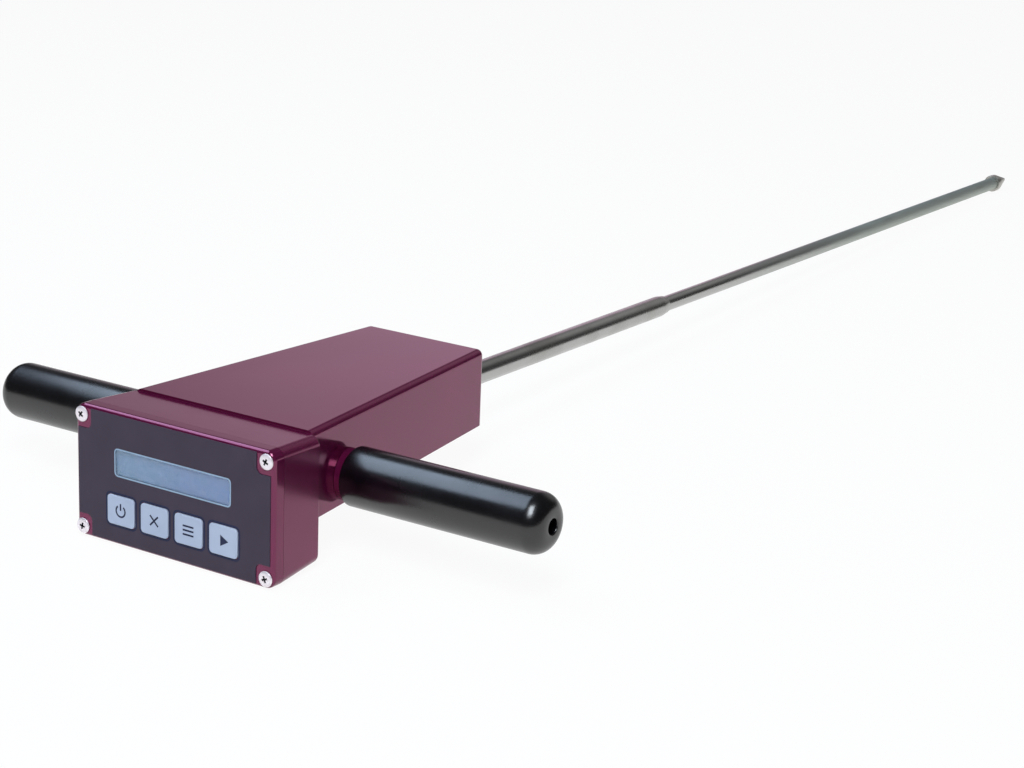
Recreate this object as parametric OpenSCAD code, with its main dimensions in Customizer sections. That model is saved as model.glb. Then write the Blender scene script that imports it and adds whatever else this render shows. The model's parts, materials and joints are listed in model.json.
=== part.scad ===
// Soil penetrometer: a probe with a cross handle, which weighs the push on its cone and shows it on a panel.
// X runs along the handle, Y along the shaft towards the cone, and Z up through the housing roof.
// The origin is on the plane that the case stands on, under the middle of the box round the whole part.
// Distances called a setback are measured back from the flat front face of the lid.

/* [Front case] */
// Width of the case, seen from the front
case_w = 121; // [116:1:130]
// Height of the case
case_h = 66; // [64:1:76]
// Depth of the case with its lid on
case_d = 35.3; // [34.5:0.1:44]
// Depth of the lid, from its face to its open edge
lid_d = 7; // [6:0.5:8]
// Thickness of the lid's face
lid_plate_t = 2.5; // [2:0.1:3]
// Thickness of the side walls of the case and lid
case_wall = 2.2; // [1.6:0.1:3]
// Thickness of the back wall of the case
back_wall_t = 2.5; // [2:0.1:3.5]
// Radius of the four long corners of the case
corner_r = 5; // [4.5:0.5:8]
// Rounding round the lid's face
edge_r = 1.8; // [0.8:0.1:2.5]
// Rounding round the back of the case
back_r = 0.8; // [0.4:0.1:2]
// How far each side leans in over the depth of the case, as a casting does
draft_side = 1.8; // [0.5:0.1:2.5]
// How far the top leans in
draft_top = 1.1; // [0.5:0.1:2]
// How far the bottom leans in
draft_bottom = 2.5; // [0.5:0.1:3]
// Thickness of the gasket between lid and case
gasket_t = 0.6; // [0.4:0.1:1]
// How far the gasket lies in from the outside of the case
gasket_inset = 0.4; // [0.2:0.1:0.8]

/* [Lid screws] */
// Distance of a lid screw from the side of the case
lid_screw_x = 4.3; // [4.2:0.1:5]
// Distance of a lid screw from the top or bottom of the case
lid_screw_z = 5; // [4.2:0.1:6]
// Diameter of a lid screw
lid_screw_d = 4; // [3:0.5:4]
// Diameter of its head
lid_head_d = 7.6; // [7:0.1:8]
// Height of its head
lid_head_h = 1.2; // [1.1:0.1:2.4]
// Length of a lid screw under its head
lid_screw_l = 18; // [14:1:22]
// Radius of the corner posts that the screws go into
post_r = 3.9; // [3.4:0.1:4.2]

/* [Front panel] */
// Thickness of the printed film on the lid
overlay_t = 0.4; // [0.2:0.1:0.6]
// Margin between the film and each side of the lid
overlay_side = 1.9; // [1.8:0.1:3]
// Margin between the film and the top and bottom of the lid
overlay_end = 1.5; // [1.4:0.1:3]
// Rounding of the film's corners
overlay_r = 3; // [1:0.5:5]
// Width of the film's corner notches, from the side of the case
notch_w = 10.1; // [9.5:0.1:14]
// Height of the film's corner notches, from the top or bottom of the case
notch_h = 11.5; // [10:0.5:13]
// Width of the display window
window_w = 70; // [60:1:74]
// Height of the display window
window_h = 12.7; // [10:0.1:13.5]
// Height of the window's middle over the middle of the panel
window_up = 8.4; // [7:0.1:9]
// Rounding of the window's corners
window_r = 1.5; // [0.5:0.1:3]

/* [Keys] */
// Width of a key
key_w = 16.8; // [14:0.1:18]
// Height of a key
key_h = 14.6; // [12:0.1:15]
// Distance from key to key
key_pitch = 21; // [20.6:0.1:22]
// Depth of the row of keys under the middle of the panel
key_down = 15.2; // [14.8:0.1:16]
// How far a key stands out of the film
key_proud = 0.6; // [0.5:0.1:1.2]
// Rounding of a key's corners
key_r = 2; // [1:0.1:3]
// Free play round a key
key_play = 0.3; // [0.2:0.05:0.5]
// How far a key goes in
key_travel = 0.5; // [0.3:0.05:0.6]
// Width of the lips that keep a key behind the lid
key_lip_w = 1.2; // [0.8:0.1:1.5]
// Thickness of those lips
key_lip_t = 1; // [0.8:0.1:1.2]
// Diameter of the stem that works the switch
key_stem_d = 3.2; // [2.5:0.1:4]
// Side of a switch under a key
switch_w = 6; // [5.5:0.1:7]
// Height of a switch
switch_t = 4; // [3.5:0.1:4.5]

/* [Display and boards] */
// Frame round the display, at its sides
bezel_side = 3; // [2:0.1:4]
// Frame round the display, above and below
bezel_end = 5.6; // [4:0.1:6]
// Depth of the display frame
bezel_d = 8.2; // [7.5:0.1:9]
// Thickness of the display glass
glass_t = 1.5; // [1:0.1:2]
// Distance of the glass behind the lid's face
glass_back = 0.5; // [0.3:0.1:1]
// Thickness of the circuit boards
board_t = 1.6; // [1:0.1:2]
// Margin of the display board beyond its frame
board_margin = 5; // [4.8:0.1:5.4]
// Diameter of the spacers that carry the display and key boards
spacer_d = 4.2; // [3.6:0.1:4.4]
// Distance of a spacer from the edge of its board
spacer_in = 2.6; // [2.4:0.1:3]
// Diameter of the standoffs that carry the main board
standoff_d = 5.5; // [4.5:0.1:6]
// Length of the standoffs
standoff_l = 11.5; // [11:0.1:12.5]
// Width of the main board
main_w = 102; // [100:1:104]
// Height of the main board
main_h = 52; // [50:1:53]
// Distance of a standoff from the edges of the main board
standoff_in = 4; // [3.5:0.1:5]
// Diameter of the board screws
board_screw_d = 2.5; // [2:0.1:3]
// Height of the chips on the main board
chip_t = 1.8; // [1:0.1:2]

/* [Batteries] */
// Diameter of a cell
cell_d = 10.4; // [10:0.1:10.5]
// Length of a cell
cell_l = 44; // [42:0.1:45]
// Number of cells
cell_count = 4; // [2:1:4]
// Wall of the battery holder
holder_wall = 1.2; // [0.8:0.1:1.6]
// Play of a cell in its trough
cell_play = 0.2; // [0.1:0.05:0.3]

/* [Rear housing] */
// How far the housing sits in from each side of the case
housing_lip = 6; // [4.5:0.5:8.5]
// Width of the housing at its rear wall
housing_rear_w = 74.5; // [72:0.5:90]
// Length of the housing behind the case
housing_l = 164.6; // [160:1:200]
// Height of the roof over the top of the case
roof_up = 0.3; // [0:0.1:2]
// How much the roof rises from the case to the rear wall
roof_rise = 2.2; // [0:0.1:4]
// Height of the sides where they meet the case
side_front_h = 43.5; // [43.5:0.5:46]
// Height of the sides at the rear wall
side_rear_h = 41.1; // [41.1:0.1:44]
// Thickness of the folded sheet
sheet_t = 1.5; // [1:0.1:2]
// Outer radius of the folds
fold_r = 3; // [2.2:0.1:5]
// Width of the lips that the bottom cover lies against
lip_w = 8; // [7:0.5:10]
// Width of the front tabs
tab_w = 13; // [12:0.5:15]
// Diameter of the screws between case and housing
housing_screw_d = 4; // [3:0.5:4]
// Distance of those screws from the lower edge and the roof
housing_screw_in = 8.5; // [8:0.5:12]
// Distance of the cover screws from the ends of the housing
cover_screw_in = 13; // [10:0.5:14]
// Diameter of the cover screws
cover_screw_d = 3; // [2.5:0.5:3.5]
// Gap round the bottom cover
cover_gap = 0.3; // [0.2:0.1:1]

/* [Handle] */
// Width over both grips
handle_span = 334.6; // [300:1:380]
// Setback of the handle's axis
handle_back = 66; // [65:0.5:80]
// Diameter of the handle bar
bar_d = 19.05; // [18:0.05:19.5]
// Wall of the handle bar
bar_wall = 2; // [1.5:0.1:3]
// Diameter of a grip
grip_d = 29.3; // [27:0.1:34]
// Length of the collar between the housing's side and a grip
collar_l = 5.2; // [3:0.1:12]
// Rounding of a grip's outer end
grip_end_r = 9; // [5:0.5:10]
// Rounding of a grip's inner end
grip_inner_r = 1.5; // [0.5:0.1:3]
// Thickness of a grip's end wall
grip_end_t = 10; // [4:0.5:20]
// Diameter of the hole in a grip's end
end_hole_d = 7.5; // [4:0.1:9]
// Diameter of the collars between housing and grips
collar_d = 25.4; // [23:0.1:27]

/* [Force sensor] */
// Width of the handle block
block_w = 44; // [40:1:50]
// Metal in front of the bar in the handle block
block_front = 5; // [3:0.5:6]
// Metal behind the bar in the handle block
block_rear = 18; // [17:0.5:22]
// Metal above the bar in the handle block
block_over = 8; // [6:0.5:9]
// Metal below the bar in the handle block
block_under = 1.8; // [1:0.1:1.8]
// Diameter of the set screws that clamp the bar
set_screw_d = 6; // [5:0.5:8]
// Length of the force sensor along the shaft
sensor_l = 50; // [48:1:56]
// Width of the force sensor
sensor_w = 38; // [34:1:44]
// Thickness of the force sensor
sensor_t = 14; // [12.8:0.1:16]
// Width of the two slots in the force sensor
sensor_slot = 2.5; // [1.5:0.1:4]
// Metal left at the closed end of a slot
sensor_web = 8; // [6:0.5:10]
// Diameter of the studs in the force sensor
stud_d = 10; // [8:0.5:10]
// Depth that a stud goes into the force sensor
stud_in = 11; // [9:0.5:11]
// Width of the lock nuts across their flats
nut_w = 16; // [15.5:0.5:17]
// Thickness of the lock nuts
nut_t = 5; // [4:0.5:8]

/* [Shaft] */
// Setback of the very tip of the cone
overall_l = 1000; // [900:10:1200]
// Setback of the end of the thick upper shaft
upper_end = 452; // [420:1:520]
// Diameter of the upper shaft
upper_d = 12.7; // [12:0.1:12.9]
// Diameter of the lower shaft
lower_d = 9.525; // [9:0.005:10]
// Length of the taper at the end of the upper shaft
taper_l = 6.5; // [2:0.5:15]
// Diameter of the upper shaft at the end of its taper
taper_end_d = 10.6; // [10.2:0.1:11.5]
// Height of the shaft and handle axes over the plane that the case stands on
shaft_z = 37.5; // [37.5:0.1:39]
// Diameter of the stud between the two shafts
joint_stud_d = 6.35; // [5:0.05:7]
// Length of that stud
joint_stud_l = 20; // [12:1:30]
// Diameter of the cone at its base
cone_d = 12.83; // [12:0.01:20.5]
// Full angle of the cone
cone_angle = 30; // [28:1:45]
// Height of the cylindrical land behind the cone
cone_land = 5; // [0.5:0.1:8]
// Diameter of the blunt end of the cone's point
point_d = 1.8; // [0.6:0.1:3]
// Diameter of the stud that holds the cone
cone_stud_d = 5; // [4:0.1:6]
// Length of that stud
cone_stud_l = 8; // [5:0.5:9]

/* [Rear wall] */
// Wall of the bush round the shaft
bush_wall = 1.5; // [1:0.1:1.5]
// Height of the bush's rim over its barrel
bush_rim = 0.6; // [0.4:0.1:0.6]
// Length of the bush inside the housing
bush_l = 8; // [4:0.5:20]
// Diameter of a distance sensor
sonar_d = 16.2; // [14:0.1:17]
// Length of a distance sensor
sonar_l = 12; // [8:0.5:16]
// Distance of a distance sensor from the middle
sonar_x = 22; // [20:0.5:23]
// Height of the distance sensors over the shaft
sonar_up = 13.5; // [12:0.5:15]
// How far a distance sensor stands out of the rear wall
sonar_out = 1.6; // [1.4:0.1:4]
// Wall of the rubber ring round a distance sensor
ring_wall = 1; // [0.8:0.1:1.5]
// Height of the ring's rims
ring_rim = 1.2; // [0.8:0.1:1.6]

/* [Data port] */
// Distance of the port from the middle
port_x = 38; // [37.5:0.5:42]
// Height of the port over the plane that the case stands on
port_z = 13; // [12:0.1:14]
// Diameter of the port's barrel
port_d = 12; // [10:0.5:12]
// Diameter of its flange
port_flange_d = 16; // [14:0.5:16]
// Thickness of its flange
port_flange_t = 2; // [1:0.1:3]
// Diameter of its socket
socket_d = 8; // [6:0.1:8.5]
// Depth of its socket
socket_l = 9; // [6:0.5:10]
// Thickness of the plug's head
plug_head_t = 3; // [2:0.1:5]
// Diameter of the lead from the sensors
lead_d = 3.4; // [2:0.1:3.6]

/* [Hidden] */

// Curves: round exact pieces, and the coarser ones inside hulls
$fn = 64;
hull_fn = 32;
edge_steps = 4;

// Clearances: a screw or stud in its hole, a turning or sliding pair, and a soft or loose neighbour
slip = 0.05;
seam = 0.15;
gap = 0.3;
// Thickness of a slice that only gives a hull its outline, and how far a cut runs past a face
slice = 0.01;
past = 1;

// The middle of the whole part along the shaft
mid_back = (overall_l - lid_head_h) / 2;

// Case and lid
case_front = lid_d + gasket_t;
case_inner_back = case_d - back_wall_t;
panel_z = case_h / 2;
screw_xs = [-1, 1] * (case_w / 2 - lid_screw_x);
screw_zs = [lid_screw_z, case_h - lid_screw_z];
screw_hole_l = lid_screw_l + 1;

// Panel
window_z = panel_z + window_up;
key_z = panel_z - key_down;
key_xs = [-1.5, -0.5, 0.5, 1.5] * key_pitch;

// Display and boards, from the lid backwards
bezel_w = window_w + 2 * bezel_side;
bezel_h = window_h + 2 * bezel_end;
display_back = bezel_d;
display_w = bezel_w + 2 * board_margin;
display_h = bezel_h + 2 * board_margin;
display_low = window_z - display_h / 2;
key_board_w = 3 * key_pitch + key_w;
key_board_top = display_low - 1;
key_board_low = key_z - key_h / 2 - spacer_d - spacer_in / 2;
key_board_h = key_board_top - key_board_low;
key_lip_back = lid_plate_t + seam + key_lip_t;
key_board_front = lid_plate_t + seam + key_lip_t + key_travel + gap + switch_t;
switch_front = key_board_front - switch_t;
switch_bore_l = 2;
key_stem_back = switch_front + switch_bore_l - key_travel - gap;
key_spacer_xs = [-1, 0, 1] * key_pitch;
key_spacer_z = key_board_low + spacer_d / 2 + gap;
display_spacer_xs = [-1, 1] * (display_w / 2 - spacer_in);
display_spacer_zs = [window_z - display_h / 2 + spacer_in, window_z + display_h / 2 - spacer_in];
main_front = lid_plate_t + standoff_l;
main_back = main_front + board_t;
standoff_xs = [-1, 1] * (main_w / 2 - standoff_in);
standoff_zs = [panel_z - main_h / 2 + standoff_in, panel_z + main_h / 2 - standoff_in];
small_head_d = 2 * board_screw_d - 0.6;
small_head_h = 1.5;

// Battery holder, on the back wall of the case
cell_apart = 0.6;
contact_room = 4;
cell_pitch = cell_d + cell_apart;
holder_h = cell_count * cell_pitch + 2 * holder_wall;
holder_w = cell_l + 2 * contact_room;
holder_d = cell_d + holder_wall;
holder_front = case_inner_back - holder_d;
holder_z = draft_bottom + case_wall + gap + holder_h / 2;
cell_y = case_inner_back - holder_wall - cell_d / 2;

// Housing: half its width and the height of its lower edge at a setback
housing_back = case_d + housing_l;
roof_z = case_h + roof_up;
housing_front_w = case_w - 2 * housing_lip;
taper_angle = atan((housing_front_w - housing_rear_w) / 2 / housing_l);
function half_w(back) = housing_front_w / 2 - (back - case_d) * tan(taper_angle);
function roof_at(back) = roof_z + (back - case_d) * roof_rise / housing_l;
rise_angle = atan((side_front_h + roof_rise - side_rear_h) / housing_l);
low_front_z = roof_z - side_front_h;
function low_z(back) = low_front_z + (back - case_d) * tan(rise_angle);
slope_l = housing_l / cos(rise_angle);
wall_inner_back = housing_back - sheet_t;
housing_screw_xs = [-1, 1] * (housing_front_w / 2 - sheet_t - tab_w / 2);
housing_screw_zs = [low_front_z + housing_screw_in, roof_z - housing_screw_in];
nut_boss_d = housing_screw_d + 4;
nut_boss_l = 3;
cover_screw_ys = [cover_screw_in, slope_l - cover_screw_in];
cover_boss_d = cover_screw_d + 3;
cover_boss_l = 3;
cover_head_h = 1.6;

// Handle
bar_half = handle_span / 2 - grip_end_t - gap;
collar_root = half_w(handle_back);
grip_inner = collar_root + collar_l;
grip_l = handle_span / 2 - grip_inner;
block_front_back = handle_back - bar_d / 2 - block_front;
block_back = handle_back + bar_d / 2 + block_rear;
block_low = shaft_z - bar_d / 2 - block_under;
block_high = shaft_z + bar_d / 2 + block_over;
block_stud_in = block_rear - 4;
set_screw_xs = [-1, 1] * block_w / 4;

// Force sensor and shaft
sensor_front = block_back + nut_t;
sensor_back = sensor_front + sensor_l;
sensor_slot_in = stud_in + 2;
shaft_root = sensor_back + nut_t;
cone_l = (cone_d - point_d) / 2 / tan(cone_angle / 2);
cone_base = overall_l - cone_l - cone_land;
lower_front = upper_end + seam;
lower_back = cone_base - seam;
lead_z = block_high + lead_d / 2 + gap;
lead_climb = 12;
lead_hole_d = lead_d + 4;

// Rear wall
bush_bore = upper_d + 2 * seam;
bush_d = bush_bore + 2 * bush_wall;
sonar_z = shaft_z + sonar_up;
sonar_front = housing_back + sonar_out - sonar_l;
ring_d = sonar_d + 2 * slip + 2 * ring_wall;
sonar_board_low = shaft_z + upper_d / 2 + 2 * gap;

// Data port
port_barrel_l = 10;
port_root = case_inner_back - port_barrel_l;
plug_root = case_d + port_flange_t;

// Colours
paint = "#5A1028";
film = "#46424C";
steel = "#A8A8A4";
nickel = "#D8D6D0";
black = "#17171A";
board_green = "#1F5A3A";
key_blue = "#B9C8E1";
lcd_grey = "#8FA6B8";
aluminium = "#B9BCC0";
brass = "#B79A4E";

// Everything is drawn from the lid's face backwards and moved to the part's own origin at the end
module in_part_frame() translate([0, -mid_back, 0]) children();

// A flat shape drawn in X and Z, given thickness between two setbacks
module slab(front, back) translate([0, back, 0]) rotate([90, 0, 0]) linear_extrude(back - front) children();

module rod_y(x, z, d, front, back) translate([x, front, z]) rotate([-90, 0, 0]) cylinder(d = d, h = back - front);

module rod_x(back, z, d, left, right) translate([left, back, z]) rotate([0, 90, 0]) cylinder(d = d, h = right - left);

module rounded_rect(w, h, r) {
    square([w - 2 * r, h], center = true);
    square([w, h - 2 * r], center = true);
    for (x = [-1, 1], z = [-1, 1]) translate([x * (w / 2 - r), z * (h / 2 - r)]) circle(r);
}

module ring_y(x, z, outer, inner, front, back) difference() {
    rod_y(x, z, outer, front, back);
    rod_y(x, z, inner, front - past, back + past);
}

// The case's outline at a share of its tapered depth, drawn in by an inset
module case_outline(share, inset) {
    low = draft_bottom * share + inset;
    high = case_h - draft_top * share - inset;
    translate([0, (low + high) / 2])
        rounded_rect(case_w - 2 * (draft_side * share + inset), high - low, corner_r - inset, $fn = hull_fn);
}

module case_slice(front, share, inset) slab(front, front + slice) case_outline(share, inset);

module lid_posts(front, back) for (x = screw_xs, z = screw_zs) rod_y(x, z, 2 * post_r, front, back);

// A pan head screw that points along +Y, with its head's seat at the origin
module pan_screw(d, head_d, head_h, len) {
    translate([0, -slip, 0]) rotate([-90, 0, 0]) cylinder(d = d, h = len + slip);
    difference() {
        union() {
            translate([0, -head_h / 2, 0]) rotate([-90, 0, 0]) cylinder(d = head_d, h = head_h / 2);
            rotate([90, 0, 0]) translate([0, 0, head_h / 2])
                cylinder(d1 = head_d, d2 = 0.7 * head_d, h = head_h / 2);
        }
        for (a = [45, 135]) translate([0, -head_h, 0]) rotate([0, a, 0])
            cube([0.6 * head_d, head_h, 0.14 * head_d], center = true);
    }
}

module front_case() in_part_frame() color(paint) difference() {
    hull() {
        case_slice(case_front, 0, 0);
        case_slice(case_d - back_r, 1, 0);
        case_slice(case_d - slice, 1, back_r);
    }
    difference() {
        hull() {
            case_slice(case_front - past, 0, case_wall);
            case_slice(case_inner_back - slice, 1, case_wall);
        }
        lid_posts(case_front - past, case_d);
    }
    for (x = screw_xs, z = screw_zs)
        rod_y(x, z, lid_screw_d + 2 * slip, case_front - past, screw_hole_l);
    for (x = housing_screw_xs, z = housing_screw_zs)
        rod_y(x, z, housing_screw_d + 2 * slip, case_inner_back - past, case_d + past);
    rod_y(0, lead_z, lead_hole_d, case_inner_back - past, case_d + past);
    rod_y(port_x, port_z, port_d + 2 * slip, case_inner_back - past, case_d + past);
}

module front_lid() in_part_frame() color(paint) difference() {
    hull() {
        for (k = [0 : edge_steps])
            case_slice(edge_r * (1 - cos(90 * k / edge_steps)), 0, edge_r * (1 - sin(90 * k / edge_steps)));
        case_slice(lid_d - slice, 0, 0);
    }
    difference() {
        slab(lid_plate_t, lid_d + past) case_outline(0, case_wall);
        lid_posts(lid_plate_t - past, lid_d + 2 * past);
    }
    for (x = screw_xs, z = screw_zs) rod_y(x, z, lid_screw_d + gap, -past, lid_d + past);
    slab(-past, lid_plate_t + past) {
        translate([0, window_z]) square([bezel_w + gap, bezel_h + gap], center = true);
        for (x = key_xs) translate([x, key_z]) key_outline(key_play);
    }
}

module lid_gasket() in_part_frame() color(black) slab(lid_d, case_front) difference() {
    union() {
        difference() {
            case_outline(0, gasket_inset);
            case_outline(0, case_wall);
        }
        intersection() {
            case_outline(0, gasket_inset);
            for (x = screw_xs, z = screw_zs) translate([x, z]) circle(post_r);
        }
    }
    for (x = screw_xs, z = screw_zs) translate([x, z]) circle(d = lid_screw_d + gap);
}

module lid_screws() in_part_frame() color(nickel) for (x = screw_xs, z = screw_zs)
    translate([x, 0, z]) pan_screw(lid_screw_d, lid_head_d, lid_head_h, lid_screw_l);

module window_outline(grow) translate([0, window_z])
    rounded_rect(window_w + 2 * grow, window_h + 2 * grow, window_r + grow);

module key_outline(grow) rounded_rect(key_w + 2 * grow, key_h + 2 * grow, key_r + grow);

module panel_overlay() in_part_frame() color(film) slab(-overlay_t, 0) difference() {
    translate([0, panel_z]) rounded_rect(case_w - 2 * overlay_side, case_h - 2 * overlay_end, overlay_r);
    for (x = [-1, 1], z = [-1, 1]) translate([x * case_w / 2, panel_z + z * case_h / 2])
        rounded_rect(2 * notch_w, 2 * notch_h, overlay_r);
    window_outline(0);
    for (x = key_xs) translate([x, key_z]) key_outline(key_play);
}

module lcd_window() in_part_frame() color(lcd_grey, 0.4) slab(-overlay_t, 0) window_outline(-slip);

module lcd_bezel() in_part_frame() color(black) slab(slip, bezel_d) translate([0, window_z]) difference() {
    square([bezel_w, bezel_h], center = true);
    square([window_w + 1, window_h + 1], center = true);
}

module lcd_glass() in_part_frame() color(lcd_grey) slab(glass_back, glass_back + glass_t)
    translate([0, window_z]) square([window_w + 1 - 2 * slip, window_h + 1 - 2 * slip], center = true);

module lcd_backlight() in_part_frame() color("white") slab(glass_back + glass_t, bezel_d)
    translate([0, window_z]) square([window_w + 1 - 2 * slip, window_h + 1 - 2 * slip], center = true);

module lcd_board() in_part_frame() color(board_green) slab(display_back, display_back + board_t) difference() {
    translate([0, window_z]) square([display_w, display_h], center = true);
    for (x = display_spacer_xs, z = display_spacer_zs) translate([x, z]) circle(d = board_screw_d + 2 * slip);
}

module board_spacers() in_part_frame() color(nickel) {
    for (x = display_spacer_xs, z = display_spacer_zs)
        ring_y(x, z, spacer_d, board_screw_d + 2 * slip, lid_plate_t, display_back);
    for (x = key_spacer_xs)
        ring_y(x, key_spacer_z, spacer_d, board_screw_d + 2 * slip, lid_plate_t, key_board_front);
}

// A board screw put in from behind, with its head's seat at a setback
module board_screw(x, z, seat, len) translate([x, seat, z]) rotate([0, 0, 180])
    pan_screw(board_screw_d, small_head_d, small_head_h, len);

module display_screws() in_part_frame() color(steel) {
    for (x = display_spacer_xs, z = display_spacer_zs)
        board_screw(x, z, display_back + board_t, display_back + board_t - lid_plate_t - slip);
    for (x = key_spacer_xs)
        board_screw(x, key_spacer_z, key_board_front + board_t, key_board_front + board_t - lid_plate_t - slip);
}

module key_board() in_part_frame() color(board_green)
    slab(key_board_front, key_board_front + board_t) difference() {
        translate([0, key_board_low + key_board_h / 2]) square([key_board_w, key_board_h], center = true);
        for (x = key_spacer_xs) translate([x, key_spacer_z]) circle(d = board_screw_d + 2 * slip);
    }

module key_switches() in_part_frame() color(black) for (x = key_xs) difference() {
    slab(switch_front, key_board_front) translate([x, key_z]) square(switch_w, center = true);
    rod_y(x, key_z, key_stem_d + gap, switch_front - past, switch_front + switch_bore_l);
}

// A key: a cap that fills its hole, side lips that keep it in, and a stem that works the switch
module key(x) in_part_frame() color(key_blue) {
    slab(-overlay_t - key_proud, lid_plate_t + seam + slip) translate([x, key_z]) key_outline(0);
    slab(lid_plate_t + seam, key_lip_back) translate([x, key_z])
        square([key_w + 2 * key_lip_w, key_h - 2 * key_r], center = true);
    rod_y(x, key_z, key_stem_d, key_lip_back - slip, key_stem_back);
}

module power_key() key(key_xs[0]);

module delete_key() key(key_xs[1]);

module review_key() key(key_xs[2]);

module start_key() key(key_xs[3]);

module main_board() in_part_frame() color(board_green) slab(main_front, main_back) difference() {
    translate([0, panel_z]) square([main_w, main_h], center = true);
    for (x = standoff_xs, z = standoff_zs) translate([x, z]) circle(d = board_screw_d + 2 * slip);
}

module board_chips() in_part_frame() color(black) {
    for (chip = [[-26, 8, 14, 14], [4, 10, 10, 7], [26, -8, 8, 8], [-20, -14, 18, 6]])
        slab(main_back, main_back + chip_t) translate([chip[0], panel_z + chip[1]])
            square([chip[2], chip[3]], center = true);
}

module board_standoffs() in_part_frame() color(brass) for (x = standoff_xs, z = standoff_zs)
    ring_y(x, z, standoff_d, board_screw_d + 2 * slip, lid_plate_t, main_front);

module board_screws() in_part_frame() color(steel) for (x = standoff_xs, z = standoff_zs)
    board_screw(x, z, main_back, board_t + standoff_l / 2);

module battery_holder() in_part_frame() color(black) difference() {
    slab(holder_front, case_inner_back) translate([0, holder_z]) square([holder_w, holder_h], center = true);
    for (k = [0 : cell_count - 1]) let (z = holder_z + (k - (cell_count - 1) / 2) * cell_pitch) {
        rod_x(cell_y, z, cell_d + 2 * cell_play, -cell_l / 2 - cell_play, cell_l / 2 + past + cell_play);
        translate([-cell_l / 2 - cell_play, holder_front - past, z - cell_d / 2 - cell_play])
            cube([cell_l + past + 2 * cell_play, cell_y - holder_front + past, cell_d + 2 * cell_play]);
    }
}

module batteries() in_part_frame() color("#8C7A3A") for (k = [0 : cell_count - 1])
    let (z = holder_z + (k - (cell_count - 1) / 2) * cell_pitch) {
        rod_x(cell_y, z, cell_d, -cell_l / 2, cell_l / 2);
        rod_x(cell_y, z, 0.35 * cell_d, cell_l / 2 - past, cell_l / 2 + 0.8);
    }

// The folded housing as a solid block: corner posts with round tops, drawn in by an inset, from a setback
module housing_skin(inset, front) difference() {
    hull() for (s = [-1, 1], back = [case_d - 3 * fold_r, housing_back - fold_r])
        translate([s * (half_w(back) - fold_r / cos(taper_angle)), back, 0]) {
            translate([0, 0, roof_at(back) - fold_r]) sphere(r = fold_r - inset, $fn = hull_fn);
            cylinder(r = fold_r - inset, h = roof_at(back) - fold_r, $fn = hull_fn);
        }
    translate([-housing_front_w, case_d - 9 * fold_r, -past])
        cube([2 * housing_front_w, front - case_d + 9 * fold_r, 2 * roof_z]);
}

// The plane of the housing's lower edges, with Y running back along it from the case
module in_low_plane() translate([0, case_d, low_front_z]) rotate([rise_angle, 0, 0]) children();

// Half the width inside the housing, at a distance along its lower edge
function inner_half(along) = half_w(case_d + along * cos(rise_angle)) - sheet_t;

// The corners of the bottom cover on one side, from its front to its rear
cover_half = [
    [inner_half(0) - cover_gap, cover_gap],
    [inner_half(slope_l - fold_r) - cover_gap, slope_l - fold_r - cover_gap],
    [inner_half(slope_l) - fold_r, slope_l - sheet_t - cover_gap],
    [0, slope_l - sheet_t - cover_gap]];

module cover_screw_places() in_low_plane() for (s = [-1, 1], y = cover_screw_ys)
    translate([s * (inner_half(y) - lip_w / 2), y, 0]) children();

module rear_housing() in_part_frame() color(paint) difference() {
    union() {
        difference() {
            housing_skin(0, case_d);
            housing_skin(sheet_t, case_d - past);
            in_low_plane() translate([-housing_front_w, -slope_l, -roof_z])
                cube([2 * housing_front_w, 3 * slope_l, roof_z]);
        }
        for (s = [-1, 1]) {
            in_low_plane() translate([0, 0, sheet_t]) linear_extrude(sheet_t) polygon([
                [s * (inner_half(0) + sheet_t / 2), slice],
                [s * (inner_half(slope_l) + sheet_t / 2), slope_l - fold_r],
                [s * (inner_half(slope_l) - lip_w), slope_l - fold_r],
                [s * (inner_half(0) - lip_w), slice]]);
            slab(case_d, case_d + sheet_t) polygon([
                [s * (housing_front_w / 2 - sheet_t / 2), low_front_z + 2 * sheet_t],
                [s * (housing_front_w / 2 - sheet_t / 2), roof_z - fold_r],
                [s * (housing_front_w / 2 - sheet_t - tab_w), roof_z - fold_r],
                [s * (housing_front_w / 2 - sheet_t - tab_w), low_front_z + 2 * sheet_t]]);
        }
        for (x = housing_screw_xs, z = housing_screw_zs)
            rod_y(x, z, nut_boss_d, case_d + sheet_t - slip, case_d + sheet_t + nut_boss_l);
        cover_screw_places() translate([0, 0, 2 * sheet_t - slip]) cylinder(d = cover_boss_d, h = cover_boss_l);
    }
    for (x = housing_screw_xs, z = housing_screw_zs)
        rod_y(x, z, housing_screw_d + 2 * slip, case_d - past, case_d + sheet_t + nut_boss_l + past);
    cover_screw_places() cylinder(d = cover_screw_d + 2 * slip, h = 3 * sheet_t + cover_boss_l);
    rod_x(handle_back, shaft_z, bar_d + 2 * slip, -housing_front_w, housing_front_w);
    rod_y(0, shaft_z, bush_d + 2 * slip, wall_inner_back - past, housing_back + past);
    for (x = [-sonar_x, sonar_x]) rod_y(x, sonar_z, ring_d + 2 * slip, wall_inner_back - past, housing_back + past);
}

module housing_screws() in_part_frame() color(nickel) for (x = housing_screw_xs, z = housing_screw_zs)
    translate([x, case_inner_back, z])
        pan_screw(housing_screw_d, 1.8 * housing_screw_d, 0.6 * housing_screw_d, back_wall_t + sheet_t + nut_boss_l);

module rear_cover() in_part_frame() color(paint) difference() {
    in_low_plane() linear_extrude(sheet_t - slip) polygon([
        for (s = [-1, 1], k = [0 : 3]) let (corner = cover_half[s < 0 ? k : 3 - k]) [s * corner[0], corner[1]]]);
    cover_screw_places() translate([0, 0, -past]) cylinder(d = cover_screw_d + gap, h = sheet_t + 2 * past);
}

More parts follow.
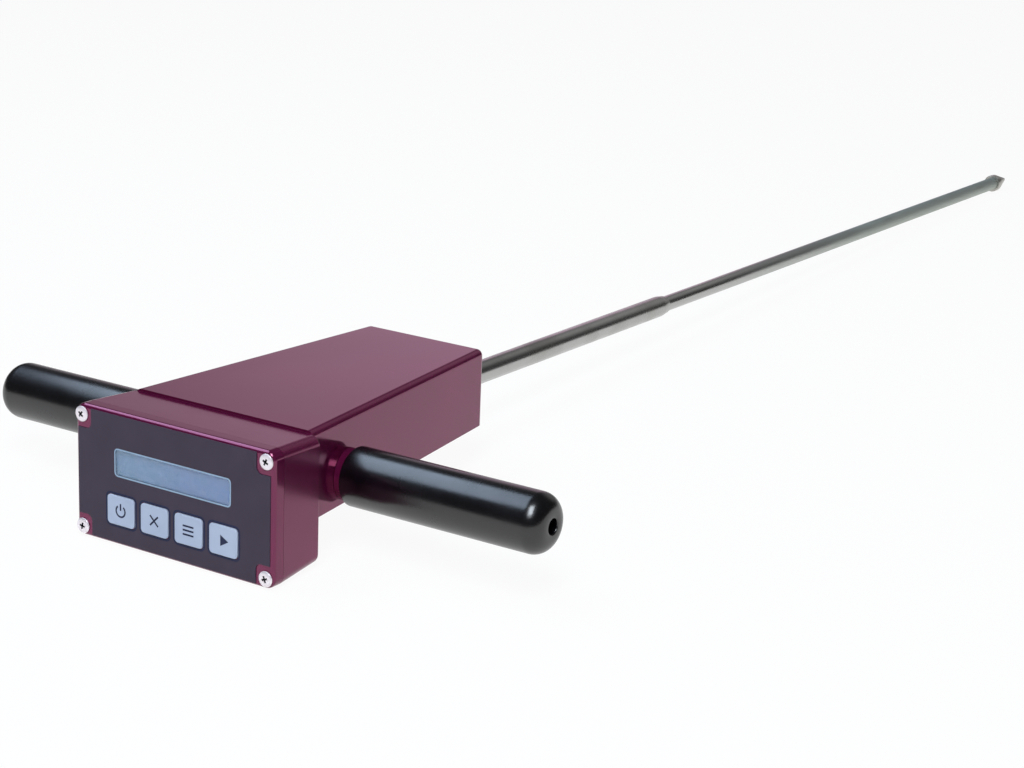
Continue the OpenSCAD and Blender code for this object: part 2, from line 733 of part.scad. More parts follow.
module cover_screws() in_part_frame() color(nickel) cover_screw_places() rotate([90, 0, 0])
    pan_screw(cover_screw_d, 1.9 * cover_screw_d, cover_head_h, 2 * sheet_t + cover_boss_l);

module handle_bar() in_part_frame() color(steel) difference() {
    rod_x(handle_back, shaft_z, bar_d, -bar_half, bar_half);
    rod_x(handle_back, shaft_z, bar_d - 2 * bar_wall, -bar_half - past, bar_half + past);
}

module handle_block() in_part_frame() color(aluminium) difference() {
    translate([-block_w / 2, block_front_back, block_low])
        cube([block_w, block_back - block_front_back, block_high - block_low]);
    rod_x(handle_back, shaft_z, bar_d + 2 * slip, -block_w, block_w);
    rod_y(0, shaft_z, stud_d + 2 * slip, block_back - block_stud_in, block_back + past);
    for (x = set_screw_xs) translate([x, handle_back, shaft_z]) cylinder(d = set_screw_d + 2 * slip, h = block_high);
}

module clamp_screws() in_part_frame() color(black) for (x = set_screw_xs)
    translate([x, handle_back, shaft_z + bar_d / 2 + slip]) difference() {
        cylinder(d = set_screw_d, h = block_over - past);
        translate([0, 0, block_over / 2]) cylinder(d = set_screw_d / 2, h = block_over, $fn = 6);
    }

// The collar's inner end is cut to the slant of the housing's side
module right_collar() in_part_frame() color(paint) difference() {
    rod_x(handle_back, shaft_z, collar_d, collar_root - fold_r, grip_inner - slip);
    rod_x(handle_back, shaft_z, bar_d + 2 * slip, 0, handle_span);
    translate([collar_root + seam, handle_back, 0]) rotate([0, 0, taper_angle])
        translate([-housing_front_w, -handle_back, 0]) cube([housing_front_w, 2 * handle_back, 2 * shaft_z]);
}

module left_collar() mirror([1, 0, 0]) right_collar();

// A grip: a round sleeve, closed at its outer end but for a small hole
module right_grip() in_part_frame() color(black) translate([grip_inner, handle_back, shaft_z]) rotate([0, 90, 0])
    difference() {
        rotate_extrude() {
            translate([0, grip_inner_r]) square([grip_d / 2, grip_l - grip_end_r - grip_inner_r]);
            square([grip_d / 2 - grip_inner_r, grip_l / 2]);
            translate([grip_d / 2 - grip_inner_r, grip_inner_r]) circle(grip_inner_r);
            translate([0, grip_l / 2]) square([grip_d / 2 - grip_end_r, grip_l / 2]);
            translate([grip_d / 2 - grip_end_r, grip_l - grip_end_r]) intersection() {
                circle(grip_end_r);
                square(grip_end_r);
            }
        }
        translate([0, 0, -past]) cylinder(d = bar_d + 2 * slip, h = grip_l - grip_end_t + past);
        cylinder(d = end_hole_d, h = grip_l + past);
    }

module left_grip() mirror([1, 0, 0]) right_grip();

// An S shaped sensor: two slots from opposite sides leave a beam that bends under load
module load_cell() in_part_frame() color(aluminium) difference() {
    translate([-sensor_w / 2, sensor_front, shaft_z - sensor_t / 2]) cube([sensor_w, sensor_l, sensor_t]);
    for (s = [[1, sensor_front + sensor_slot_in], [-1, sensor_back - sensor_slot_in - sensor_slot]])
        translate([s[0] > 0 ? sensor_web - sensor_w / 2 : -sensor_w / 2 - past, s[1], shaft_z - sensor_t])
            cube([sensor_w - sensor_web + past, sensor_slot, 2 * sensor_t]);
    for (y = [-1, 1]) translate([0, (sensor_front + sensor_back) / 2 + y * sensor_slot, shaft_z - sensor_t])
        cylinder(d = 3 * sensor_slot, h = 2 * sensor_t);
    rod_y(0, shaft_z, stud_d + 2 * slip, sensor_front - past, sensor_front + stud_in + slip);
    rod_y(0, shaft_z, stud_d + 2 * slip, sensor_back - stud_in - slip, sensor_back + past);
}

module load_cell_stud() in_part_frame() color(steel)
    rod_y(0, shaft_z, stud_d, block_back - block_stud_in + slip, sensor_front + stud_in);

module lock_nuts() in_part_frame() color(nickel) for (y = [block_back, sensor_back])
    translate([0, y + slip, shaft_z]) rotate([-90, 0, 0]) difference() {
        cylinder(d = nut_w / cos(30), h = nut_t - 2 * slip, $fn = 6);
        translate([0, 0, -past]) cylinder(d = stud_d + 2 * slip, h = nut_t + 2 * past);
    }

module upper_shaft() in_part_frame() color(steel) difference() {
    union() {
        rod_y(0, shaft_z, stud_d, sensor_back - stud_in, shaft_root + slip);
        rod_y(0, shaft_z, upper_d, shaft_root, upper_end - taper_l);
        translate([0, upper_end - taper_l - slice, shaft_z]) rotate([-90, 0, 0])
            cylinder(d1 = upper_d, d2 = taper_end_d, h = taper_l + slice);
    }
    rod_y(0, shaft_z, joint_stud_d + 2 * slip, upper_end - joint_stud_l - past, upper_end + past);
}

module lower_shaft() in_part_frame() color(steel) {
    rod_y(0, shaft_z, joint_stud_d, upper_end - joint_stud_l, lower_front + past);
    rod_y(0, shaft_z, lower_d, lower_front, lower_back);
    rod_y(0, shaft_z, cone_stud_d, lower_back - past, lower_back + cone_stud_l);
}

module cone_tip() in_part_frame() color(steel) difference() {
    translate([0, cone_base, shaft_z]) rotate([-90, 0, 0]) {
        cylinder(d = cone_d, h = cone_land + slice);
        translate([0, 0, cone_land]) cylinder(d1 = cone_d, d2 = point_d, h = cone_l);
    }
    rod_y(0, shaft_z, cone_stud_d + 2 * slip, cone_base - past, cone_base + cone_stud_l + gap);
}

module shaft_bush() in_part_frame() color(black) difference() {
    union() {
        rod_y(0, shaft_z, bush_d, wall_inner_back - bush_l, housing_back + past);
        rod_y(0, shaft_z, bush_d + 2 * bush_rim, housing_back, housing_back + bush_wall);
    }
    rod_y(0, shaft_z, bush_bore, 0, housing_back + 2 * bush_wall);
}

// A distance sensor: a round can with a shallow recess for its mesh
module sonar(x) in_part_frame() color(aluminium) difference() {
    rod_y(x, sonar_z, sonar_d, sonar_front, sonar_front + sonar_l);
    rod_y(x, sonar_z, sonar_d - 3, sonar_front + sonar_l - 0.8, sonar_front + sonar_l + past);
}

module sonar_sender() sonar(-sonar_x);

module sonar_receiver() sonar(sonar_x);

module sensor_rings() in_part_frame() color(black) for (x = [-sonar_x, sonar_x]) difference() {
    union() {
        rod_y(x, sonar_z, ring_d, wall_inner_back - ring_rim, housing_back + ring_rim);
        for (y = [wall_inner_back - ring_rim, housing_back]) rod_y(x, sonar_z, ring_d + 2 * ring_rim, y, y + ring_rim);
    }
    rod_y(x, sonar_z, sonar_d + 2 * slip, 0, housing_back + 2 * ring_rim);
}

module sonar_board() in_part_frame() color(board_green) slab(sonar_front - board_t, sonar_front)
    translate([-sonar_x - sonar_d / 2, sonar_board_low])
        square([2 * sonar_x + sonar_d, sonar_z + sonar_d / 2 - sonar_board_low]);

// A lead along straight runs with rounded turns
module lead(points, d) for (i = [0 : len(points) - 2]) {
    run = points[i + 1] - points[i];
    translate(points[i]) rotate([0, acos(run[2] / norm(run)), atan2(run[1], run[0])]) cylinder(d = d, h = norm(run));
    if (i > 0) translate(points[i]) sphere(d = d);
}

module sensor_lead() in_part_frame() color(black) lead([
    [0, sonar_front - board_t, sonar_z],
    [0, sonar_front - board_t - lead_d, sonar_z],
    [0, sonar_front - board_t - lead_climb, lead_z],
    [0, main_back, lead_z]], lead_d);

module lead_grommet() in_part_frame() color(black) difference() {
    union() {
        rod_y(0, lead_z, lead_hole_d - 2 * slip, case_inner_back - 1, case_d + 1);
        for (y = [case_inner_back - 1, case_d]) rod_y(0, lead_z, lead_hole_d + 1.6, y, y + 1);
    }
    rod_y(0, lead_z, lead_d + 2 * slip, case_inner_back - 3, case_d + 3);
}

module data_port() in_part_frame() color(nickel) difference() {
    union() {
        rod_y(port_x, port_z, port_d, port_root, case_d + past);
        rod_y(port_x, port_z, port_flange_d, case_d, plug_root);
        translate([port_x, case_inner_back - port_flange_t, port_z]) rotate([-90, 0, 0])
            cylinder(d = port_d + 4, h = port_flange_t, $fn = 6);
    }
    rod_y(port_x, port_z, socket_d, plug_root - socket_l, plug_root + past);
}

module port_plug() in_part_frame() color(black) {
    rod_y(port_x, port_z, socket_d - 2 * slip, plug_root - socket_l + past, plug_root + past);
    rod_y(port_x, port_z, port_flange_d - 2, plug_root + seam, plug_root + seam + plug_head_t / 2);
    translate([port_x, plug_root + seam + plug_head_t / 2 - slice, port_z]) rotate([-90, 0, 0])
        cylinder(d1 = port_flange_d - 2, d2 = port_flange_d - 4, h = plug_head_t / 2 + slice);
}

front_case();
front_lid();
lid_gasket();
lid_screws();
panel_overlay();
lcd_window();
lcd_bezel();
lcd_glass();
lcd_backlight();
lcd_board();
board_spacers();
display_screws();
key_board();
key_switches();
power_key();
delete_key();
review_key();
start_key();
main_board();
board_chips();
board_standoffs();
board_screws();
battery_holder();
batteries();
rear_housing();
housing_screws();
rear_cover();
cover_screws();
handle_bar();
handle_block();
clamp_screws();
left_collar();
right_collar();
left_grip();
right_grip();
load_cell();
load_cell_stud();
lock_nuts();
upper_shaft();
lower_shaft();
cone_tip();
shaft_bush();
sonar_sender();
sonar_receiver();
sensor_rings();
sonar_board();
sensor_lead();
lead_grommet();
data_port();
port_plug();
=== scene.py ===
# %% [markdown]
# # A hand penetrometer for soil
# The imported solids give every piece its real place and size. This script dresses them: the visible pieces
# are modelled again with soft edges, cut-outs and prints, and every surface gets a finish made of shader
# nodes. All lengths in the script are metres, and MM turns the millimetres of a drawing into them.

# %% Load the frame
import json
import math
import bmesh
import bpy
from mathutils import Matrix, Vector

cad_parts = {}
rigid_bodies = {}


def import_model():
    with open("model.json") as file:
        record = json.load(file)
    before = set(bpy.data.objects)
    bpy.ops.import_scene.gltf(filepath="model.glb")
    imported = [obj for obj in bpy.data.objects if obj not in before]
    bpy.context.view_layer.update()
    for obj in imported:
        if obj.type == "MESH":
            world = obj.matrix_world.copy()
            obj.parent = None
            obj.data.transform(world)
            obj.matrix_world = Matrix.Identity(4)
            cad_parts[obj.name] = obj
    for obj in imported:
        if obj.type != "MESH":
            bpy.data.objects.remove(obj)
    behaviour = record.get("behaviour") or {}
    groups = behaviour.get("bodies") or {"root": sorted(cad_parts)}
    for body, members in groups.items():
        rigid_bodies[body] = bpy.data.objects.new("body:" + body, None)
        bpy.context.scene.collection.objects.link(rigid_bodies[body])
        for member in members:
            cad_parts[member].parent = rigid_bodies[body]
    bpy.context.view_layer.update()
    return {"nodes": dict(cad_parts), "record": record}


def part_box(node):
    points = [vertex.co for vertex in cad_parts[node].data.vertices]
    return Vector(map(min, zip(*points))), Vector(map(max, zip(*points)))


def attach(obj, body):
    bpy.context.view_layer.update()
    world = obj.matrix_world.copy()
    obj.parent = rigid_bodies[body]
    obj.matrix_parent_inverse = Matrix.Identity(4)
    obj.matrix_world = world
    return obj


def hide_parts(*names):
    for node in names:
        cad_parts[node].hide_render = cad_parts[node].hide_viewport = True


for leftover in list(bpy.data.objects):
    bpy.data.objects.remove(leftover)
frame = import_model()
MM = 0.001

# %% [markdown]
# ## Camera
# The photograph was taken from a little above, in front and to the right of the panel, with a long lens.
# The camera's angles come from a fit to the photograph. The lens is given in pixels of a 1024 pixel wide
# picture, and the sensor's width turns that into millimetres. The camera is made first, so that
# everything can be judged through it.

# %% Camera
YAW, PITCH, ROLL = (math.radians(a) for a in (33.09, 16.24, -2.27))
FOCAL_PX, IMAGE_W, SENSOR_MM = 2325.8, 1024, 36
panel_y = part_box("front_lid")[0].y
EYE = Vector((0.6858, panel_y - 0.7682, 0.3893))

ahead = Vector((-math.sin(YAW) * math.cos(PITCH), math.cos(YAW) * math.cos(PITCH), -math.sin(PITCH)))
level_right = Vector((math.cos(YAW), math.sin(YAW), 0))
level_down = ahead.cross(level_right)
right = math.cos(ROLL) * level_right + math.sin(ROLL) * level_down
down = math.cos(ROLL) * level_down - math.sin(ROLL) * level_right

lens = bpy.data.cameras.new("studio_camera")
lens.sensor_width = SENSOR_MM
lens.lens = FOCAL_PX / IMAGE_W * SENSOR_MM
lens.clip_start = 10 * MM
camera = bpy.data.objects.new("studio_camera", lens)
camera.matrix_world = Matrix.Translation(EYE) @ Matrix((right, -down, -ahead)).transposed().to_4x4()
bpy.context.scene.collection.objects.link(camera)
bpy.context.scene.camera = camera
print("lens", round(lens.lens, 2), "mm")

# %% [markdown]
# ## Modelling helpers
# A piece starts as a bmesh made by an operator, and is finished the same way each time: doubles merged,
# faces turned outwards, smooth shading that stops at edges sharper than a given angle, a material, the
# body that it moves with and the solid that it stands for. One function does that, so no step is forgotten.

# %% Finish a bmesh as a piece
WELD = 0.002 * MM


def finish_piece(name, bm, material, body, replaces=(), sharp=32, flat=False, second=None):
    """Makes the piece. With flat, large faces keep their own normal and only the rounding shades."""
    bmesh.ops.remove_doubles(bm, verts=bm.verts, dist=WELD)
    bmesh.ops.recalc_face_normals(bm, faces=bm.faces)
    for face in bm.faces:
        face.smooth = True
    for edge in bm.edges:
        edge.smooth = len(edge.link_faces) == 2 and edge.calc_face_angle(0) < math.radians(sharp)
    mesh = bpy.data.meshes.new(name)
    bm.to_mesh(mesh)
    bm.free()
    for used in (material, second):
        if used:
            mesh.materials.append(used)
    piece = bpy.data.objects.new(name, mesh)
    bpy.context.scene.collection.objects.link(piece)
    if flat:
        weighted = piece.modifiers.new("flat_faces", "WEIGHTED_NORMAL")
        weighted.mode = "FACE_AREA"
        weighted.weight = 100
        weighted.keep_sharp = True
    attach(piece, body)
    if replaces:
        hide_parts(*replaces)
    print(name, len(mesh.vertices), "vertices")
    return piece


# %% [markdown]
# Boxes with drafted sides, such as a casting, start from one cube whose eight corners are moved to where
# the drawing has them. The rounding comes afterwards, edge by edge, with the bevel operator. Which edges
# those are is asked by direction, because an operator may number them in any order.

# %% Boxes and bevels
MOSTLY = 0.9


def box_with_corners(corner):
    """A cube whose corner on the side (sx, sy, sz) of its middle lies at corner(sx, sy, sz)."""
    bm = bmesh.new()
    bmesh.ops.create_cube(bm, size=2)
    for vert in bm.verts:
        vert.co = Vector(corner(*(1 if c > 0 else -1 for c in vert.co)))
    return bm


def plain_box(low, high):
    """A box between two opposite corners."""
    def corner(*sides):
        return [most if side > 0 else least for side, least, most in zip(sides, low, high)]
    return box_with_corners(corner)


def bevel(bm, edges, radius, segments):
    bmesh.ops.bevel(bm, geom=edges, offset=radius, offset_type="OFFSET", segments=segments, profile=0.5,
                    affect="EDGES", clamp_overlap=True, material=-1)


def edges_along(bm, axis):
    """The edges that run mostly along an axis, 0 to 2."""
    def runs(edge):
        step = edge.verts[1].co - edge.verts[0].co
        return abs(step[axis]) > MOSTLY * step.length
    return [e for e in bm.edges if runs(e)]


def looks(face, axis, side):
    """Whether a face looks mostly along an axis, towards its side -1 or 1."""
    return side * face.normal[axis] > MOSTLY


def rim_edges(bm, axis, side):
    """The edges round the flat face that looks along an axis, on its side -1 or 1."""
    bm.normal_update()
    face = max(bm.faces, key=lambda f: side * f.normal[axis] * f.calc_area())
    return list(face.edges)


# %% [markdown]
# Round pieces are turned, as on a lathe. The profile is a list of (radius, distance) points, and the spin
# operator sweeps it once round. A full spin needs use_merge, or a seam of double vertices is left.
# Roundings in a profile are arcs worked out from a centre, a radius and two angles.

# %% Turned pieces
ALONG_X, ALONG_Y, ALONG_Z = (1, 0, 0), (0, 1, 0), (0, 0, 1)
ORIGIN = (0, 0, 0)


def arc(centre_r, centre_h, radius, start, end, steps=8):
    """Profile points round a centre, between two angles in degrees."""
    angles = [math.radians(start + (end - start) * k / steps) for k in range(steps + 1)]
    return [(centre_r + radius * math.cos(a), centre_h + radius * math.sin(a)) for a in angles]


def lathe(profile, origin, direction, closed=False, steps=96):
    """Spins (radius, distance) points round an axis through origin. Points on the axis close the shape."""
    bm = bmesh.new()
    verts = [bm.verts.new((r, 0, h)) for r, h in profile]
    pairs = list(zip(verts, verts[1:])) + ([(verts[-1], verts[0])] if closed else [])
    edges = [bm.edges.new(pair) for pair in pairs]
    bmesh.ops.spin(bm, geom=verts + edges, cent=ORIGIN, axis=ALONG_Z, dvec=ORIGIN,
                   angle=2 * math.pi, steps=steps, use_merge=True)
    bmesh.ops.remove_doubles(bm, verts=bm.verts, dist=WELD)
    turn = Vector(ALONG_Z).rotation_difference(Vector(direction)).to_matrix().to_4x4()
    bmesh.ops.transform(bm, matrix=Matrix.Translation(origin) @ turn, verts=bm.verts)
    return bm


def cylinder(radius, length, origin, direction, steps):
    return lathe([(0, 0), (radius, 0), (radius, length), (0, length)], origin, direction, steps=steps)


def middle_and_radius(node):
    """The middle of a round node's box, and half the node's height, which is its radius."""
    low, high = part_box(node)
    return (low + high) / 2, (high.z - low.z) / 2


def join(*parts):
    """One bmesh that holds several, each as its own shell."""
    whole = bmesh.new()
    for part in parts:
        mesh = bpy.data.meshes.new("part")
        part.to_mesh(mesh)
        part.free()
        whole.from_mesh(mesh)
        bpy.data.meshes.remove(mesh)
    return whole


def turn_about(bm, axis, degrees, verts=None):
    """Turns vertices, or all of them, about an axis through the origin."""
    bmesh.ops.rotate(bm, cent=ORIGIN, matrix=Matrix.Rotation(math.radians(degrees), 3, axis),
                     verts=verts or bm.verts)


# %% [markdown]
# Openings are cut with the Boolean modifier, whose result is read back as the new mesh. It needs two
# closed shapes, and the cutter is thrown away afterwards. A cutter stands out of what it cuts by
# CUT_REACH, because two faces in one plane would leave a thin skin.

# %% Cuts
CUT_REACH = 5 * MM


def cut(bm, cutter):
    objects = []
    for name, source in (("cut_piece", bm), ("cutter", cutter)):
        bmesh.ops.recalc_face_normals(source, faces=source.faces)
        mesh = bpy.data.meshes.new(name)
        source.to_mesh(mesh)
        source.free()
        objects.append(bpy.data.objects.new(name, mesh))
        bpy.context.scene.collection.objects.link(objects[-1])
    piece, tool = objects
    modifier = piece.modifiers.new("cut", "BOOLEAN")
    modifier.object = tool
    modifier.solver = "EXACT"
    bpy.context.view_layer.update()
    result = bmesh.new()
    result.from_object(piece, bpy.context.evaluated_depsgraph_get())
    for used in objects:
        mesh = used.data
        bpy.data.objects.remove(used)
        bpy.data.meshes.remove(mesh)
    return result


# %% [markdown]
# ## Shader helpers
# Shader maths reads best as sums and products. Number wraps a socket and adds a Math node for each
# operator, so a pattern can be written as a formula. Shading makes every other node: it takes the node's
# type, its settings, which are set first, and the values or links of its sockets. Colours never pass
# through a Math node, which would turn them grey, but through Mix nodes. Finish is one material.

# %% Numbers in a shader
class Number:
    """A number in a shader: operators on it add Math nodes."""

    def __init__(self, shading, socket):
        self.shading = shading
        self.socket = socket

    def math(self, operation, *others, flip=False):
        values = [self, *others]
        if flip:
            values.reverse()
        node = self.shading.node("ShaderNodeMath", {"operation": operation}, dict(enumerate(values)))
        return Number(self.shading, node.outputs[0])

    def __add__(self, other):
        return self.math("ADD", other)

    def __sub__(self, other):
        return self.math("SUBTRACT", other)

    def __rsub__(self, other):
        return self.math("SUBTRACT", other, flip=True)

    def __mul__(self, other):
        return self.math("MULTIPLY", other)

    def __truediv__(self, other):
        return self.math("DIVIDE", other)

    __radd__ = __add__
    __rmul__ = __mul__

    def clamp(self, low=0.0, high=1.0):
        return self.math("MAXIMUM", low).math("MINIMUM", high)

    def step(self, low, high):
        """0 below low, 1 above high, and straight between them."""
        return ((self - low) / (high - low)).clamp()


# %% Trees of nodes and finishes
class Shading:
    """A tree of shader nodes."""

    def __init__(self, tree):
        self.tree = tree

    def node(self, kind, settings=None, inputs=None):
        node = self.tree.nodes.new(kind)
        for key, value in (settings or {}).items():
            setattr(node, key, value)
        for key, value in (inputs or {}).items():
            self.feed(node.inputs[key], value)
        return node

    def feed(self, socket, value):
        if isinstance(value, Number):
            self.tree.links.new(value.socket, socket)
        elif isinstance(value, bpy.types.NodeSocket):
            self.tree.links.new(value, socket)
        else:
            socket.default_value = value

    def number(self, kind, output, settings=None, inputs=None):
        return Number(self, self.node(kind, settings, inputs).outputs[output])

    def mix(self, factor, low, high):
        """A colour between two, as factor goes from 0 to 1. Each is a link or three numbers."""
        low, high = (c if isinstance(c, bpy.types.NodeSocket) else (*c, 1) for c in (low, high))
        return self.node("ShaderNodeMix", {"data_type": "RGBA"}, {0: factor, 6: low, 7: high}).outputs[2]


class Finish(Shading):
    """One material, with its Principled shader."""

    def __init__(self, name, **constants):
        self.material = bpy.data.materials.new(name)
        self.material.use_nodes = True
        super().__init__(self.material.node_tree)
        self.shader = self.tree.nodes["Principled BSDF"]
        for key, value in constants.items():
            self.shader.inputs[key.replace("_", " ").title().replace("Ior", "IOR")].default_value = value
        print("finish", name)

    def place(self, scale=(1, 1, 1)):
        """Where a point is on the object, in metres, stretched along the axes."""
        where = self.node("ShaderNodeTexCoord").outputs["Object"]
        return self.node("ShaderNodeMapping", {}, {"Vector": where, "Scale": scale}).outputs[0]

    def noise(self, size, detail=2.0, stretch=(1, 1, 1)):
        """Soft noise whose grains are about size across."""
        inputs = {"Vector": self.place(stretch), "Scale": 1 / size, "Detail": detail}
        return self.number("ShaderNodeTexNoise", "Fac", {}, inputs)

    def bump(self, height, depth):
        node = self.node("ShaderNodeBump", {}, {"Height": height, "Distance": depth, "Strength": 1.0})
        self.feed(self.shader.inputs["Normal"], node.outputs[0])

    def colour(self, value):
        self.feed(self.shader.inputs["Base Color"], value)

    def roughness(self, value):
        self.feed(self.shader.inputs["Roughness"], value)


# %% [markdown]
# ## Finishes
# The casting and the sheet housing share one maroon paint. It looks nearly black in shade and turns a
# dusty pink where it mirrors something white, which plain enamel doesn't do: fine metal flake lies in it.
# So part of the base reflects like tinted metal. The gloss keeps the faint waviness of a sprayed coat and
# a slow drift in tone. The case's coat is less glossy than that of the lid and the sheet housing, because
# its top mirrors the room more softly in the photograph.

# %% Maroon paint
def painted(name, rough):
    paint = Finish(name, ior=1.8, metallic=0.5)
    drift = paint.noise(60 * MM, 3).step(0.35, 0.7)
    paint.colour(paint.mix(drift, (0.162, 0.008, 0.060), (0.187, 0.011, 0.070)))
    handled = paint.noise(30 * MM, 2).step(0.3, 0.8)
    paint.roughness(rough + 0.06 * handled)
    sprayed_waves = paint.noise(2.4 * MM, 1)
    paint.bump(sprayed_waves, 0.008 * MM)
    return paint.material


PAINT = painted("maroon_paint", 0.09)
CAST_PAINT = painted("maroon_cast_paint", 0.20)

# %% [markdown]
# The panel's film is a matt charcoal print under a fine velvet texture. The keys are the same film in
# pale blue, and the prints on them are navy ink, a little smoother than what they lie on. One function
# makes them all, because only their colour and gloss differ.

# %% Film, keys and ink
def velvet_film(name, low, high, rough, shine=0.5):
    film = Finish(name, ior=1.5, specular_ior_level=shine)
    cloudy = film.noise(14 * MM, 3).step(0.3, 0.7)
    film.colour(film.mix(cloudy, low, high))
    film.roughness(rough + 0.08 * film.noise(4 * MM, 3))
    velvet = film.noise(0.25 * MM, 1)
    film.bump(velvet, 0.01 * MM)
    return film.material


FILM = velvet_film("charcoal_film", (0.040, 0.026, 0.047), (0.047, 0.031, 0.055), 0.42, 0.35)
KEY_FILM = velvet_film("key_film", (0.455, 0.510, 0.640), (0.492, 0.550, 0.680), 0.38)
INK = velvet_film("navy_ink", (0.010, 0.014, 0.05), (0.014, 0.019, 0.062), 0.35, 0.25)
PALE_INK = velvet_film("pale_ink", (0.30, 0.42, 0.55), (0.34, 0.47, 0.60), 0.35)

# %% [markdown]
# The display is a pale blue-grey liquid crystal glass. Its two rows of character cells show faintly even
# when it is off. They are worked out from the position on the glass: each axis is folded into repeats of
# one cell, and a cell's window is where both folded positions are near the middle.

# %% Display glass
CELL_W, CELL_H, CELL_ROWS = 4.1 * MM, 5.4 * MM, 2


def fold(value, middle, period):
    """How far a position is from the middle of its repeat: 0 in the middle, 0.5 at the edges."""
    repeats_kept_positive = 100
    return (((value - middle) / period + repeats_kept_positive).math("FRACT") - 0.5).math("ABSOLUTE")


def display_finish(low, high):
    glass = Finish("display_glass", ior=1.5, coat_weight=0.5, coat_roughness=0.05)
    where = glass.node("ShaderNodeSeparateXYZ", {}, {0: glass.place()})
    across, up = Number(glass, where.outputs["X"]), Number(glass, where.outputs["Z"])
    middle_x, middle_z = (low.x + high.x) / 2, (low.z + high.z) / 2
    in_cell = (1 - fold(across, middle_x, CELL_W).step(0.38, 0.42)) \
        * (1 - fold(up, middle_z, CELL_H).step(0.40, 0.44))
    half_rows = CELL_ROWS * CELL_H / 2
    in_rows = 1 - (up - middle_z).math("ABSOLUTE").step(half_rows, half_rows + 0.1 * MM)
    mottle = glass.noise(9 * MM, 3).step(0.35, 0.7)
    # Painted light: the glass is lighter and greener at the left and a deeper blue at the right. A quarter
    # of the blend is random mottle.
    to_the_right = 0.75 * across.step(low.x, high.x) + 0.25 * mottle
    base = glass.mix(to_the_right, (0.090, 0.240, 0.37), (0.055, 0.135, 0.395))
    glass.colour(glass.mix(in_cell * in_rows * 0.22, base, (0.045, 0.12, 0.27)))
    glass.roughness(0.22 + 0.1 * mottle)
    return glass.material


def clear_pane():
    pane = Finish("clear_window", base_color=(0.85, 0.92, 1.0, 1), alpha=0.10, ior=1.49)
    pane.roughness(0.12 + 0.08 * pane.noise(3 * MM, 2))
    return pane.material


DISPLAY = display_finish(*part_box("lcd_glass"))
WINDOW = clear_pane()

# %% [markdown]
# The grips are dipped vinyl: black through and through, with a strong skin of gloss, a fine pebble that
# softens the highlight and slightly duller places where palms go. Rubber parts and black plastic are the
# same recipe, plainer and more matt.

# %% Vinyl and rubber
def soft_black(name, base, rough, grain, depth, ior=1.5):
    skin = Finish(name, ior=ior)
    dusty = tuple(1.6 * c for c in base)
    skin.colour(skin.mix(skin.noise(18 * MM, 4).step(0.45, 0.8), base, dusty))
    palmed = skin.noise(22 * MM, 4).step(0.35, 0.75)
    skin.roughness(rough + 0.08 * palmed)
    skin.bump(skin.noise(grain, 2), depth)
    return skin.material


GRIP = soft_black("grip_vinyl", (0.0016, 0.0014, 0.0024), 0.22, 0.9 * MM, 0.02 * MM, 1.7)
RUBBER = soft_black("matt_rubber", (0.014, 0.014, 0.015), 0.62, 0.5 * MM, 0.02 * MM)
PLASTIC = soft_black("black_plastic", (0.018, 0.018, 0.020), 0.42, 0.35 * MM, 0.012 * MM)

# %% [markdown]
# Metals are one recipe with other numbers: a reflecting base, brushed lines that run round or along the
# piece, and a stain of duller metal where it has been handled. The lines are noise that is stretched
# along one axis, so the recipe takes one factor for each axis.

# %% Metals
def metal(name, base, rough, stretch, depth, stain=(0.7, 0.68, 0.64), line=0.8 * MM, metallic=1.0):
    bare = Finish(name, metallic=metallic)
    worn = bare.noise(30 * MM, 4).step(0.45, 0.8)
    bare.colour(bare.mix(worn, base, tuple(b * s for b, s in zip(base, stain))))
    lines = bare.noise(line, 2, stretch)
    bare.roughness(rough + 0.10 * worn + 0.10 * lines)
    bare.bump(lines, depth)
    return bare.material


STEEL_COLOUR, STEEL_ROUGH = (0.43, 0.43, 0.42), 0.19
STEEL = metal("turned_steel", STEEL_COLOUR, STEEL_ROUGH, (0.05, 8, 0.05), 0.004 * MM)
TIP_STEEL = metal("worn_steel", (0.50, 0.49, 0.46), 0.28, (0.2, 6, 0.2), 0.008 * MM)
NICKEL = metal("bright_nickel", (0.97, 0.89, 0.92), 0.30, (1, 1, 1), 0.004 * MM,
               stain=(0.93, 0.92, 0.91), line=1.5 * MM, metallic=0.55)
ALUMINIUM = metal("milled_aluminium", (0.74, 0.75, 0.77), 0.30, (6, 1, 1), 0.006 * MM)
BRASS = metal("brass", (0.72, 0.54, 0.24), 0.25, (1, 4, 1), 0.004 * MM)
# Black oxide steel. On the screws it also makes the painted shade on the walls of the cross.
DARK_STEEL = metal("black_oxide_and_recess_shade", (0.06, 0.06, 0.065), 0.35, (1, 1, 4), 0.004 * MM)

# %% [markdown]
# The lower shaft goes into the ground with every test, and soil grinds its far part dull. So its finish
# goes from the bright turned steel at the upper end to an even, slightly greenish grey towards the cone.
# The change follows the length of the rod. Noise makes it patchy, and fine scratches run the way the rod
# is pushed, which is the same noise stretched along Y.

# %% Scoured steel
def scoured_steel(bright_y, dull_y):
    rod = Finish("scoured_steel", metallic=1.0)
    along = rod.number("ShaderNodeSeparateXYZ", "Y", {}, {0: rod.place()}).step(bright_y, dull_y)
    scratches = rod.noise(0.5 * MM, 3, (1.2, 0.03, 1.2)).step(0.35, 0.70)
    patches = 0.6 * (rod.noise(25 * MM, 4) - 0.5)
    dull = (along + patches * along + 0.3 * (scratches - 0.5) * along).clamp()
    rod.colour(rod.mix(dull, STEEL_COLOUR, (0.53, 0.57, 0.53)))
    rod.roughness(STEEL_ROUGH + 0.55 * dull + 0.10 * scratches)
    rod.bump(scratches, 0.008 * MM)
    return rod.material


rod_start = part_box("lower_shaft")[0].y
BRIGHT_L, DULL_FROM = 60 * MM, 330 * MM
ROD_STEEL = scoured_steel(rod_start + BRIGHT_L, rod_start + DULL_FROM)

